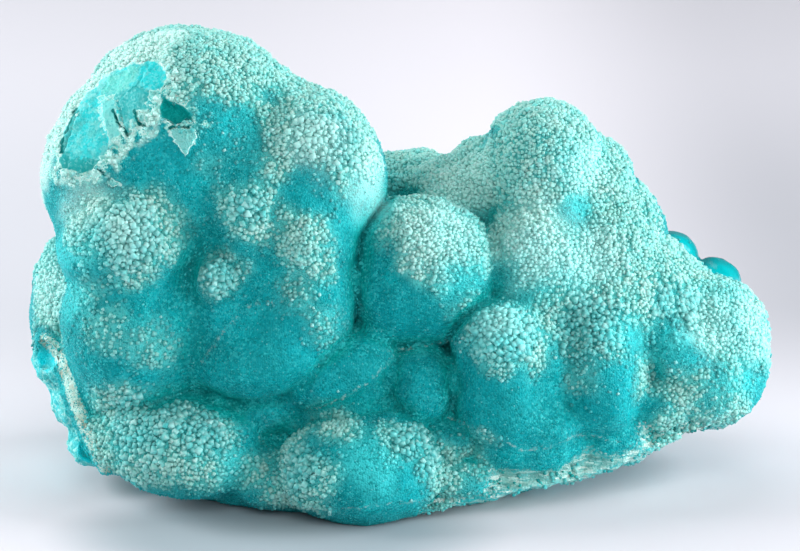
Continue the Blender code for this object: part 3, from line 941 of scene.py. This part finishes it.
def coarse_cover(points, normals, places, front, broad, smooth):
    """How thickly the coarse crystals stand before anything clears them."""
    natural = rise(normals[:, 2] + 0.4 * broad, 0.25, 0.75) * (1 - smooth)
    natural *= rise(points[:, 1], -12, -4)
    patches = [patch for group in COARSE_COAT.values() for patch in group]
    chosen = inside_patches(points, patches, 1.8 * broad, 3) * (0.6 + 0.4 * front)
    thin = inside_patches(places, THIN_COAT, 2 * broad, 2.5) * front
    worn = inside_patches(places, WORN_SPOTS, 1.6 * broad, 2) * front
    return np.max([natural, chosen, THIN_SHARE * thin], axis=0) * (1 - WORN_SHARE * worn)


def coat_marks(points, normals, places, facing, inside, marks):
    """Where each kind of crystal goes, and where the skin is smooth, pale or shut in; pale is
    partly painted glow and light, shut in takes painted shade.
    """
    front = rise(facing, -0.1, 0.3)
    broad = noise_at(points, 3.5, 3)
    free = openness(points, normals, (1.5, 3.5, 7))
    # Narrow creases, where dark shade is painted.
    crease = 1 - openness(points, normals, (0.7, 1.4))
    band = gap_to_path(points, BAND_PATH)
    above_floor = rise(points[:, 2], 0.3, 0.8)
    on_lip = (1 - rise(marks["lip_gap"], 4.2, 5.2)) * above_floor
    bare = rise(np.maximum(inside, marks["inside_hole"]), -0.3, 0.1) * front
    keep = (1 - bare) * (1 - marks["glassy"]) * above_floor

    smooth = inside_patches(points, SMOOTH_SKIN, 1.5 * broad, 1.8)
    coarse = coarse_cover(points, normals, places, front, broad, smooth)
    torn = rise(inside, -3, -1.6) * rise(noise_at(points, 1.3, 9), -0.3, 0.2) * front
    coarse = np.maximum(coarse, 0.6 * torn)
    coarse *= keep * (1 - rise(-band, -3, -2)) * rise(free, 0.3, 0.55)

    edge = np.exp(-(((coarse - 0.5) / 0.35) ** 2))
    fine = np.clip(0.5 + 0.35 * broad + 0.5 * edge + 0.4 * coarse, 0, 1)
    fine *= (1 - 0.8 * smooth) * keep * rise(free, 0.25, 0.5)
    ridge = gap_to_path(places, CHIN_RIDGE)
    fine = np.maximum(fine, (1 - rise(ridge, 0.4, 1.0)) * front * above_floor)
    fine *= 1 - 0.75 * on_lip

    coarse = np.maximum(coarse, 0.35 * on_lip * rise(broad, -0.2, 0.3))
    big = coarse * inside_patches(points, BIG_GRAINS, 1.5 * broad, 2)
    # Painted pale glow on the thin edges, kept off faces turned away from the front; fewer coarse
    # crystals there.
    glowing = inside_patches(points, PAINTED_GLOW_EDGES, broad, 2) * rise(facing, -0.45, -0.1)
    coarse *= 1 - 0.3 * glowing
    # Painted light in the light spots.
    light = 0.55 * inside_patches(points, PAINTED_LIGHT_SPOTS, 2 * broad, 4)
    return {
        "big": big,
        "coarse": coarse * (1 - 0.6 * big),
        "fine": fine,
        "smooth": smooth,
        # Where shade is painted in the clefts.
        "shut": 1 - free,
        # Painted dark shade in the narrow creases, kept off the band and the shards.
        "crease": crease * (rise(band, 4, 8) * (1 - marks["shard"])),
        # Pale: partly the crust's own pale torn border, partly painted glow on thin edges and
        # painted light spots.
        "pale": np.max([glowing, 0.8 * torn, light], axis=0),
        # Painted glow in the glow spots.
        "glow": inside_patches(places, GLOW_SPOTS, 2 * broad, 3.5) * front,
        "ledge_gap": gap_to_paths(places, LEDGES) + FAR * (1 - front),
    }


def mark_skin(skin):
    """Writes on the skin where each finish and each kind of crystal goes."""
    mesh = skin.data
    points, normals = points_of(mesh), rows_of(mesh.vertices, "normal")
    places = front_view(points)
    inside = break_depth(points)
    facing = -normals[:, 1] * math.cos(VIEW_SLOPE) + normals[:, 2] * math.sin(VIEW_SLOPE)
    marks = break_marks(points, places, inside, rise(facing, -0.1, 0.3))
    marks.update(edge_marks(points, places))
    marks.update(coat_marks(points, normals, places, facing, inside, marks))
    for name, values in marks.items():
        mark(mesh, name, values)


def heap_clumps(skin):
    """Heaps the coarse coat into small clumps."""
    mesh = skin.data
    points = points_of(mesh)
    coat = np.empty(len(points), np.float32)
    mesh.attributes["coarse"].data.foreach_get("value", coat)
    lumps = CLUMP_HEIGHT * noise_at(points, CLUMP_WAVE, 6) * coat
    put_points(mesh, points + rows_of(mesh.vertices, "normal") * lumps[:, None])


def mark_zones(skin, name, splits):
    """Numbers the faces from left to right by the splits."""
    mesh = skin.data
    zone = np.searchsorted(np.array(splits) * MM, rows_of(mesh.polygons, "center")[:, 0])
    layer = mesh.attributes.new(name, "INT", "FACE")
    layer.data.foreach_set("value", zone.astype(np.int32))


def rhombohedron(size):
    """One crystal: a cube stood on a corner and squashed from the top.

    Its faces are shaded as one curve, as the curved faces of this mineral are."""
    shape = bmesh.new()
    shape.loops.layers.uv.new("OFBake")
    bmesh.ops.create_cube(shape, size=size * MM, calc_uvs=True)
    stand = Vector((1, 1, 1)).rotation_difference(Vector((0, 0, 1))).to_matrix().to_4x4()
    press = Matrix.Diagonal((1, 1, SQUASH, 1))
    bmesh.ops.transform(shape, matrix=press @ stand, verts=shape.verts)
    for face in shape.faces:
        face.smooth = True
    return piece_from(shape, "crystal")


def grain_tip(size):
    """One grain of the fine coat: a squat tip with three faces."""
    shape = bmesh.new()
    shape.loops.layers.uv.new("OFBake")
    bmesh.ops.create_cone(
        shape,
        cap_ends=True,
        segments=3,
        radius1=0.6 * size * MM,
        radius2=0,
        depth=0.8 * size * MM,
        calc_uvs=True,
    )
    bmesh.ops.remove_doubles(shape, verts=shape.verts, dist=0.01 * size * MM)
    return piece_from(shape, "grain")


def link(tree, output, target):
    tree.links.new(output, target)


def put(tree, value, target):
    """Links a socket, or a value written on the mesh by its name, or sets a plain value."""
    if isinstance(value, str):
        value = written(tree, value)
    if isinstance(value, bpy.types.NodeSocket):
        link(tree, value, target)
    else:
        target.default_value = value


def new_node(tree, kind, inputs=None, **settings):
    """A node with its settings made and its inputs filled."""
    node = tree.nodes.new(kind)
    for name, value in settings.items():
        setattr(node, name, value)
    for name, value in (inputs or {}).items():
        put(tree, value, node.inputs[name])
    return node


def named_value(tree, name, kind):
    node = new_node(tree, "GeometryNodeInputNamedAttribute", data_type=kind)
    node.inputs["Name"].default_value = name
    return node.outputs["Attribute"]


def random_value(tree, low, high, seed=0):
    """A random number of its own for each crystal."""
    limits = {2: low, 3: high, "Seed": seed}
    return new_node(tree, "FunctionNodeRandomValue", limits, data_type="FLOAT").outputs[1]


def spread_points(tree, skin, coat, spacing, zone_name, zone):
    """Points on one zone of the skin, closer where the coat is fuller."""
    in_zone = new_node(
        tree, "FunctionNodeCompare",
        {"A": named_value(tree, zone_name, "INT"), "B": zone},
        data_type="INT", operation="EQUAL",
    )
    spread = {
        "Mesh": skin,
        "Selection": in_zone.outputs["Result"],
        "Distance Min": spacing * MM,
        "Density Max": 4 / (spacing * MM) ** 2,
        "Density Factor": named_value(tree, coat, "FLOAT"),
        "Seed": zone,
    }
    return new_node(
        tree, "GeometryNodeDistributePointsOnFaces", spread, distribute_method="POISSON"
    )


def lifted_points(tree, spread, coat):
    """Raises each point a little, by a random amount."""
    lift = random_value(tree, 0, LIFT[coat] * MM, LIFT_SEED)
    outward = new_node(
        tree, "ShaderNodeVectorMath", {0: spread.outputs["Normal"], "Scale": lift},
        operation="SCALE",
    )
    moved = {"Geometry": spread.outputs["Points"], "Offset": outward.outputs[0]}
    return new_node(tree, "GeometryNodeSetPosition", moved).outputs["Geometry"]


def growth(crystal, coat, spacing, zone_name, zone):
    """The node group that spreads crystals over one zone of the skin."""
    tree = bpy.data.node_groups.new("grow_" + coat, "GeometryNodeTree")
    for way in ("INPUT", "OUTPUT"):
        tree.interface.new_socket("Geometry", in_out=way, socket_type="NodeSocketGeometry")
    skin = new_node(tree, "NodeGroupInput").outputs[0]
    spread = spread_points(tree, skin, coat, spacing, zone_name, zone)
    turn = new_node(
        tree, "FunctionNodeRandomValue",
        {"Min": (-TILT, -TILT, 0), "Max": (TILT, TILT, 2 * math.pi)},
        data_type="FLOAT_VECTOR",
    )
    tilted = new_node(
        tree, "FunctionNodeRotateRotation",
        {"Rotation": spread.outputs["Rotation"], "Rotate By": turn.outputs["Value"]},
        rotation_space="LOCAL",
    )
    fuller = new_node(tree, "ShaderNodeMapRange", {
        "Value": named_value(tree, coat, "FLOAT"),
        "From Max": FULL_COAT,
        "To Min": SIZE_AT_EDGE,
    })
    size = times(tree, random_value(tree, SMALLEST, LARGEST), fuller.outputs["Result"])
    source = new_node(tree, "GeometryNodeObjectInfo", {"Object": crystal, "As Instance": True})
    place = new_node(tree, "GeometryNodeInstanceOnPoints", {
        "Points": lifted_points(tree, spread, coat),
        "Instance": source.outputs["Geometry"],
        "Rotation": tilted.outputs["Rotation"],
        "Scale": size,
    })
    real = new_node(tree, "GeometryNodeRealizeInstances", {"Geometry": place.outputs["Instances"]})
    new_node(tree, "NodeGroupOutput", {0: real.outputs["Geometry"]})
    return tree


def tint_crystals(mesh, crystal, seed):
    """Gives each crystal its own tone, its tip for the painted highlight and shade, and its own
    cell of the surface map.
    """
    count = len(mesh.vertices) // len(crystal.vertices)
    tones = np.random.default_rng(seed).random(count)
    mark(mesh, "tone", np.repeat(tones, len(crystal.vertices)))
    heights = points_of(crystal)[:, 2]
    heights = (heights - heights.min()) / (heights.max() - heights.min())
    mark(mesh, "tip", np.tile(heights, count))
    side = math.ceil(math.sqrt(count))
    cells = np.arange(count)
    corners = np.stack([cells % side, cells // side], axis=1)
    corners = corners.repeat(len(crystal.loops), axis=0)
    layer = mesh.uv_layers["OFBake"].uv
    places = np.empty(len(layer) * 2, np.float32)
    layer.foreach_get("vector", places)
    spread = (corners + 0.1 + 0.8 * places.reshape(-1, 2)) / side
    layer.foreach_set("vector", spread.astype(np.float32).ravel())


def grow_crystals(skin, crystal, coat, spacing, splits, material):
    """Spreads one kind of crystal over the skin, as one piece for each zone."""
    zone_name = coat + "_zone"
    mark_zones(skin, zone_name, splits)
    pieces = []
    for zone in range(len(splits) + 1):
        piece = new_piece(f"{coat}_crystals_{zone + 1}", skin.data.copy())
        grow = piece.modifiers.new("grow", "NODES")
        grow.node_group = growth(crystal, coat, spacing, zone_name, zone)
        apply_modifiers(piece)
        tint_crystals(piece.data, crystal.data, zone)
        piece.data.materials.clear()
        piece.data.materials.append(material)
        pieces.append(piece)
        print_triangles(piece)
    return pieces


def new_material(name, roughness):
    material = bpy.data.materials.new(name)
    material.use_nodes = True
    tree = material.node_tree
    shader = tree.nodes["Principled BSDF"]
    put(tree, roughness, shader.inputs["Roughness"])
    return material, tree, shader


def let_light_in(shader, share, colours, depth, gloss):
    """Scatters some light under the surface and leaves little shine on it."""
    shader.inputs["Subsurface Weight"].default_value = share
    shader.inputs["Subsurface Radius"].default_value = colours
    shader.inputs["Subsurface Scale"].default_value = depth * MM
    shader.inputs["Specular IOR Level"].default_value = gloss


def written(tree, name):
    """A value written on the mesh."""
    return new_node(tree, "ShaderNodeAttribute", attribute_name=name).outputs["Fac"]


def ramp(tree, value, low, high, start=0.0, end=1.0):
    """Turns a value between low and high into start to end, with an even curve."""
    limits = {"Value": value, "From Min": low, "From Max": high, "To Min": start, "To Max": end}
    node = new_node(tree, "ShaderNodeMapRange", limits, interpolation_type="SMOOTHSTEP")
    return node.outputs["Result"]


def sums(tree, operation, first, second):
    return new_node(tree, "ShaderNodeMath", {0: first, 1: second}, operation=operation).outputs[0]


def times(tree, first, *others):
    for other in others:
        first = sums(tree, "MULTIPLY", first, other)
    return first


def uneven(tree, value, pattern, low, high, reach):
    """A value moved by a pattern, by up to a reach either way."""
    return sums(tree, "ADD", value, ramp(tree, pattern, low, high, -reach, reach))


def over(tree, share, below, above):
    """The colour above laid over the one below."""
    colours = {0: share, 6: below, 7: above}
    return new_node(tree, "ShaderNodeMix", colours, data_type="RGBA").outputs[2]


def washed(tree, colour, washes):
    """Lays colours over a first one in turn, each as far as its value has risen."""
    for value, low, high, share, above in washes:
        colour = over(tree, ramp(tree, value, low, high, 0, share), colour, above)
    return colour


def place_on_stone(tree):
    return tree.nodes.new("ShaderNodeTexCoord").outputs["Object"]


def clouds(tree, wave):
    """Soft noise with a wavelength in millimetres."""
    soft = {"Vector": place_on_stone(tree), "Scale": 1 / (wave * MM), "Detail": 3}
    return new_node(tree, "ShaderNodeTexNoise", soft).outputs["Fac"]


def streaks(tree, length, height):
    """Soft noise drawn out across, with its length and height in millimetres."""
    wide, high = 1 / (length * MM), 1 / (height * MM)
    stretch = new_node(
        tree, "ShaderNodeMapping", {"Vector": place_on_stone(tree), "Scale": (wide, wide, high)}
    )
    soft = {"Vector": stretch.outputs["Vector"], "Scale": 1}
    return new_node(tree, "ShaderNodeTexNoise", soft).outputs["Fac"]


def grains(tree, width):
    """Cells of a width in millimetres: how far from its centre, and a random tone."""
    cells = {"Vector": place_on_stone(tree), "Scale": 1 / (width * MM)}
    node = new_node(tree, "ShaderNodeTexVoronoi", cells)
    tones = new_node(tree, "ShaderNodeSeparateColor", {"Color": node.outputs["Color"]})
    return node.outputs["Distance"], tones.outputs[0]


def broken_colour(tree):
    """The colours of the layers that the missing crust has laid bare."""
    # Painted light: the broken floor is paler near its edge, where the crust would shade it.
    low = uneven(tree, "inside_break", clouds(tree, 1.2), 0.3, 0.7, 1)
    floor = washed(tree, BRIGHT_CYAN, [
        (clouds(tree, 1.8), 0.35, 0.68, 1, SOFT_CYAN),
        (low, 1.2, 0, 0.6, PASTEL_CYAN),
    ])
    for name, share, layer in (
        ("middle_layer", 0.85, LAYER_TEAL),
        ("low_pocket", 0.85, POCKET_TEAL),
        ("upper_layer", 0.75, LAYER_MINT),
        ("thin_crust", 0.55, PALE_MINT),
        ("bright_layer", 1, BRIGHT_CYAN),
    ):
        inside = uneven(tree, name, clouds(tree, 0.8), 0.3, 0.7, 0.45)
        floor = washed(tree, floor, [(inside, -0.15, 0.15, share, layer)])
    tone = grains(tree, 0.36)[1]
    crust_edge = uneven(tree, "thin_crust", clouds(tree, 0.8), 0.3, 0.7, 0.45)
    return washed(tree, floor, [
        (tone, 0.5, 1, 0.45, PASTEL_CYAN),
        (tone, 0.35, 0, 0.4, TURQUOISE),
        (sums(tree, "ABSOLUTE", crust_edge, 0), 0.22, 0.08, 0.6, PALE_RIM),
    ])


def stone_colour(tree):
    """The teal of the stone, with soft hazy patches, a painted shade teal in the clefts, painted
    dark shade in the creases and painted glow.
    """
    colour = washed(tree, TEAL, [(clouds(tree, 9), 0.35, 0.65, 1, TURQUOISE)])
    hazy = ramp(tree, clouds(tree, 4), 0.4, 0.72)
    haze = times(tree, hazy, 0.6, ramp(tree, "smooth", 0.3, 1, 1, 0.25))
    return washed(tree, over(tree, haze, colour, HAZE), [
        ("shut", 0.2, 0.8, 1, SHADE_TEAL),
        ("coarse", 0.05, 0.8, 0.85, SEA_GREEN),
        ("glow", 0, 1, 0.5, GLOW),
        ("crease", 0.2, 0.7, 0.85, CREASE_SHADE_TEAL),
    ])


def ledge_line(tree, tone):
    """How white the thin broken lines are where a layer ends."""
    ledge = uneven(tree, "ledge_gap", tone, 0, 1, 0.15)
    broken = ramp(tree, clouds(tree, 0.8), 0.45, 0.65, 0, 0.4)
    return times(tree, ramp(tree, ledge, 0.3, 0.05), broken)


def frosted_colour(tree, from_centre, tone):
    """Stone under fine frosting, with painted glints, its pale edges, partly painted glow and
    light, its flaky lip and its ledges.
    """
    strength = ramp(tree, "smooth", 0, 1, 0.75, 0.4)
    patchy = ramp(tree, clouds(tree, 2.5), 0.3, 0.7, 0.35, 1)
    frosted = times(tree, ramp(tree, tone, 0.45, 1), strength, patchy)
    colour = over(tree, frosted, stone_colour(tree), SPECK)
    colour = washed(tree, colour, [(tone, 0.4, 0, 0.75, DEEP)])
    # Painted glints: a few grains whitened at their centres.
    centres = ramp(tree, from_centre, 0.4, 0.1)
    glint = times(tree, ramp(tree, tone, 0.94, 0.97), centres, 0.25)
    colour = washed(tree, over(tree, glint, colour, FROST), [("pale", 0, 1, 0.8, PALE_RIM)])

    on_lip = ramp(tree, uneven(tree, "lip_gap", tone, 0, 1, 0.4), 5, 4.2)
    flaky = ramp(tree, streaks(tree, 2.4, 0.7), 0.4, 0.6, 0.45, 0.95)
    colour = over(tree, times(tree, on_lip, flaky), colour, LIP_MINT)
    white = ramp(tree, streaks(tree, 3, 0.4), 0.52, 0.62, 0, 0.9)
    colour = over(tree, times(tree, on_lip, white), colour, FROST)
    return over(tree, ledge_line(tree, tone), colour, FROST)


def glass_colour(tree, tone):
    """Clear knobs with painted shade at their outlines, and rough bright shards."""
    knobs = over(tree, "knob_rim", GLASSY_TEAL, GLASSY_RIM_SHADE)
    shards = washed(tree, SHARD_CYAN, [
        (clouds(tree, 1.6), 0.4, 0.6, 1, SOFT_CYAN),
        (tone, 0.6, 1, 0.4, PASTEL_CYAN),
        (tone, 0.3, 0, 0.4, TURQUOISE),
        (clouds(tree, 0.7), 0.5, 0.66, 0.6, PALE_RIM),
        (clouds(tree, 0.7), 0.46, 0.34, 0.6, TURQUOISE),
    ])
    return over(tree, "shard", knobs, over(tree, "scoop", shards, SCOOP_CYAN))


def torn_colour(tree, colour):
    """Lays the broken place over a colour, with its torn border, hole, cracks and flakes."""
    either = sums(tree, "MAXIMUM", "inside_break", "inside_hole")
    # The torn border is pale: partly the crust's own pale edge, partly painted light on the broken
    # wall where shade would fall.
    torn = uneven(tree, either, clouds(tree, 1.6), 0.38, 0.62, 1.4)
    return washed(tree, colour, [
        (torn, -1.4, -0.6, 0.8, PALE_MINT),
        (torn, -0.5, -0.1, 0.9, PALE_RIM),
        ("inside_break", 0.1, 0.35, 1, broken_colour(tree)),
        ("inside_hole", -0.1, 0.15, 1, HOLE_TEAL),
        ("slit_gap", 0.3, 0.1, 1, SLIT_TEAL),
        ("flake", 0.15, 0.5, 0.8, PALE_RIM),
        ("flake", 0.8, 1, 0.75, FLAKE_TEAL),
    ])


def banded_colour(tree, colour, tone):
    """Lays the crumbly band on the left over a colour."""
    crumbly = washed(tree, TAN, [
        (clouds(tree, 2.5), 0.35, 0.6, 1, CREAM),
        (tone, 0.4, 0, 0.4, SEA_GREEN),
    ])
    band = uneven(tree, "band_gap", tone, 0, 1, 0.2)
    return washed(tree, colour, [(band, 1.1, 0.7, 1, crumbly)])


def skin_material():
    """Teal stone: frosted where crystals stand, bare cyan where the crust broke."""
    material, tree, shader = new_material("stone_skin", 0.42)
    let_light_in(shader, 0.3, (0.2, 1, 1), 1.5, 0.1)
    from_centre, tone = grains(tree, 0.34)
    colour = frosted_colour(tree, from_centre, tone)
    colour = over(tree, "glassy", colour, glass_colour(tree, tone))
    colour = banded_colour(tree, torn_colour(tree, colour), tone)
    link(tree, colour, shader.inputs["Base Color"])

    shiny = sums(tree, "SUBTRACT", "glassy", "shard")
    link(tree, ramp(tree, shiny, 0, 1, 0.5, 0.16), shader.inputs["Roughness"])
    calm = sums(tree, "MAXIMUM", shiny, ramp(tree, "inside_break", 0, 0.3, 0, 0.6))
    rounded = ramp(tree, from_centre, 0, 0.8, 1, 0)
    rough = new_node(tree, "ShaderNodeBump", {
        "Distance": 0.16 * MM,
        "Strength": ramp(tree, calm, 0, 1, 0.9, 0.05),
        "Height": sums(tree, "ADD", rounded, clouds(tree, 0.8)),
    })
    link(tree, rough.outputs["Normal"], shader.inputs["Normal"])
    return material


def crystal_material(name, paleness, variety):
    """Glassy grains that take the stone's colour and differ a little, with painted highlights on
    their tips and painted shade at their bases, in clefts and in creases.
    """
    material, tree, shader = new_material(name, 0.38)
    let_light_in(shader, 0.5, (0.8, 1, 1), 0.3, 0.12)
    bare = stone_colour(tree)
    full = ramp(tree, "coarse", 0.2, 0.8, 0.2, 1)
    patchy = ramp(tree, clouds(tree, 2.2), 0.35, 0.65, 0.6, 1)
    mint = times(tree, patchy, full, paleness)
    colour = washed(tree, over(tree, mint, bare, MINT), [
        ("tone", 0.5, 1, variety, SPECK),
        ("tone", 0.88, 1, paleness / 2, FROST),
        ("tone", 0.3, 0, variety / 2, TURQUOISE),
    ])
    # A painted highlight whitens the crystals' tips; their bases are painted darker, as shade
    # between the grains.
    painted_tip_highlight = times(
        tree, ramp(tree, "tip", 0.7, 1), ramp(tree, "big", 0, 0.6, 0.15, 0.9), mint
    )
    colour = washed(tree, over(tree, painted_tip_highlight, colour, FROST), [
        ("tip", 0.65, 0.25, 0.6, over(tree, full, bare, GAP_SHADE_TEAL)),
        ("shut", 0.25, 0.75, 0.8, SHADE_TEAL),
        ("crease", 0.2, 0.7, 0.8, CREASE_SHADE_TEAL),
        ("glow", 0, 1, 0.4, GLOW),
        ("pale", 0, 1, 0.92, PALE_RIM),
    ])
    colour = over(tree, ledge_line(tree, "tone"), colour, FROST)
    link(tree, colour, shader.inputs["Base Color"])
    return material


def ride_along(piece):
    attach(piece, BODY)


def build_stone():
    skin = heap_of_balls()
    join_balls(skin)
    settle(skin)
    cut_base(skin)
    mark_skin(skin)
    heap_clumps(skin)
    skin.data.materials.clear()
    skin.data.materials.append(skin_material())
    print_triangles(skin)

    mint_grains = crystal_material("mint_grains", 0.88, 0.45)
    teal_grains = crystal_material("teal_grains", 0.2, 0.6)
    pieces = []
    for coat, crystal, spacing, splits, material in (
        ("big", rhombohedron(BIG_SIZE), BIG_SPACING, BIG_SPLITS, mint_grains),
        ("coarse", rhombohedron(COARSE_SIZE), COARSE_SPACING, COARSE_SPLITS, mint_grains),
        ("fine", grain_tip(FINE_SIZE), FINE_SPACING, FINE_SPLITS, teal_grains),
    ):
        pieces += grow_crystals(skin, crystal, coat, spacing, splits, material)
        bpy.data.objects.remove(crystal)
    for polygon in skin.data.polygons:
        polygon.use_smooth = True
    for piece in [skin] + pieces:
        ride_along(piece)
    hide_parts(NODE)


def floor_sheet():
    """A floor that curves up into a wall behind the stone."""
    shape = bmesh.new()
    before = FLOOR_PROFILE[0]
    ends = [shape.verts.new((x, *before)) for x in (-FLOOR_HALF_WIDTH, FLOOR_HALF_WIDTH)]
    edges = [shape.edges.new(ends)]
    for y, z in FLOOR_PROFILE[1:]:
        grown = bmesh.ops.extrude_edge_only(shape, edges=edges)["geom"]
        moved = [item for item in grown if isinstance(item, bmesh.types.BMVert)]
        edges = [item for item in grown if isinstance(item, bmesh.types.BMEdge)]
        edges = [edge for edge in edges if all(vert in moved for vert in edge.verts)]
        bmesh.ops.translate(shape, verts=moved, vec=(0, y - before[0], z - before[1]))
        before = (y, z)
    for face in shape.faces:
        face.smooth = True
    return piece_from(shape, "floor")


def squared_offset(tree, value, middle, half_size):
    """How many half sizes a value is from the middle, squared."""
    offset = sums(tree, "DIVIDE", sums(tree, "SUBTRACT", value, middle), half_size)
    return times(tree, offset, offset)


def paper_material():
    """Pale paper, with painted shade behind the stone at both sides and a painted teal-grey shadow
    before its foot.
    """
    material, tree, shader = new_material("floor_paper", 0.9)
    place = new_node(tree, "ShaderNodeSeparateXYZ", {0: place_on_stone(tree)})
    x, y = place.outputs["X"], place.outputs["Y"]
    # Painted shade behind the stone at both sides.
    behind = times(tree, ramp(tree, y, 0, 0.1), ramp(tree, y, 0.15, 0.3, 1, 0.6))
    left = times(tree, ramp(tree, x, 0.03, -0.06), behind)
    right = times(tree, ramp(tree, x, 0.015, 0.075), behind)
    paper = over(tree, left, FLOOR_COLOUR, FLOOR_LEFT_SHADE)
    paper = over(tree, right, paper, FLOOR_RIGHT_SHADE)
    # A painted shadow before the foot.
    from_foot = sums(
        tree, "ADD",
        squared_offset(tree, x, SHADOW_MIDDLE[0], SHADOW_HALF_SIZES[0]),
        squared_offset(tree, y, SHADOW_MIDDLE[1], SHADOW_HALF_SIZES[1]),
    )
    paper = washed(tree, paper, [(from_foot, 1, 0.2, 0.6, FLOOR_PAINTED_SHADOW)])
    link(tree, paper, shader.inputs["Base Color"])
    return material


def soft_light(name, place, size, power, colour):
    light = bpy.data.lights.new(name, "AREA")
    light.shape = "DISK"
    light.size = size
    light.energy = power
    light.color = colour
    lamp = new_piece(name, light)
    lamp.location = place
    lamp.rotation_euler = (LAMP_AIM - lamp.location).to_track_quat("-Z", "Y").to_euler()


def studio():
    floor = floor_sheet()
    floor.data.materials.append(paper_material())
    for lamp in LAMPS:
        soft_light(*lamp)
    world = bpy.data.worlds.new("studio")
    world.use_nodes = True
    background = world.node_tree.nodes["Background"]
    background.inputs["Color"].default_value = WORLD_COLOUR
    background.inputs["Strength"].default_value = WORLD_STRENGTH
    bpy.context.scene.world = world
    bpy.context.scene.view_settings.view_transform = "Standard"


def camera():
    """Looks from the front, a little above the floor."""
    data = bpy.data.cameras.new("camera")
    data.sensor_width = SENSOR_WIDTH
    data.lens = LENS
    data.clip_start = CLIP_START
    viewer = new_piece("camera", data)
    back = Vector((0, -math.cos(VIEW_SLOPE), math.sin(VIEW_SLOPE)))
    viewer.location = CAMERA_AIM + CAMERA_DISTANCE * back
    viewer.rotation_euler = (-back).to_track_quat("-Z", "Y").to_euler()
    bpy.context.scene.camera = viewer


camera()
build_stone()
studio()
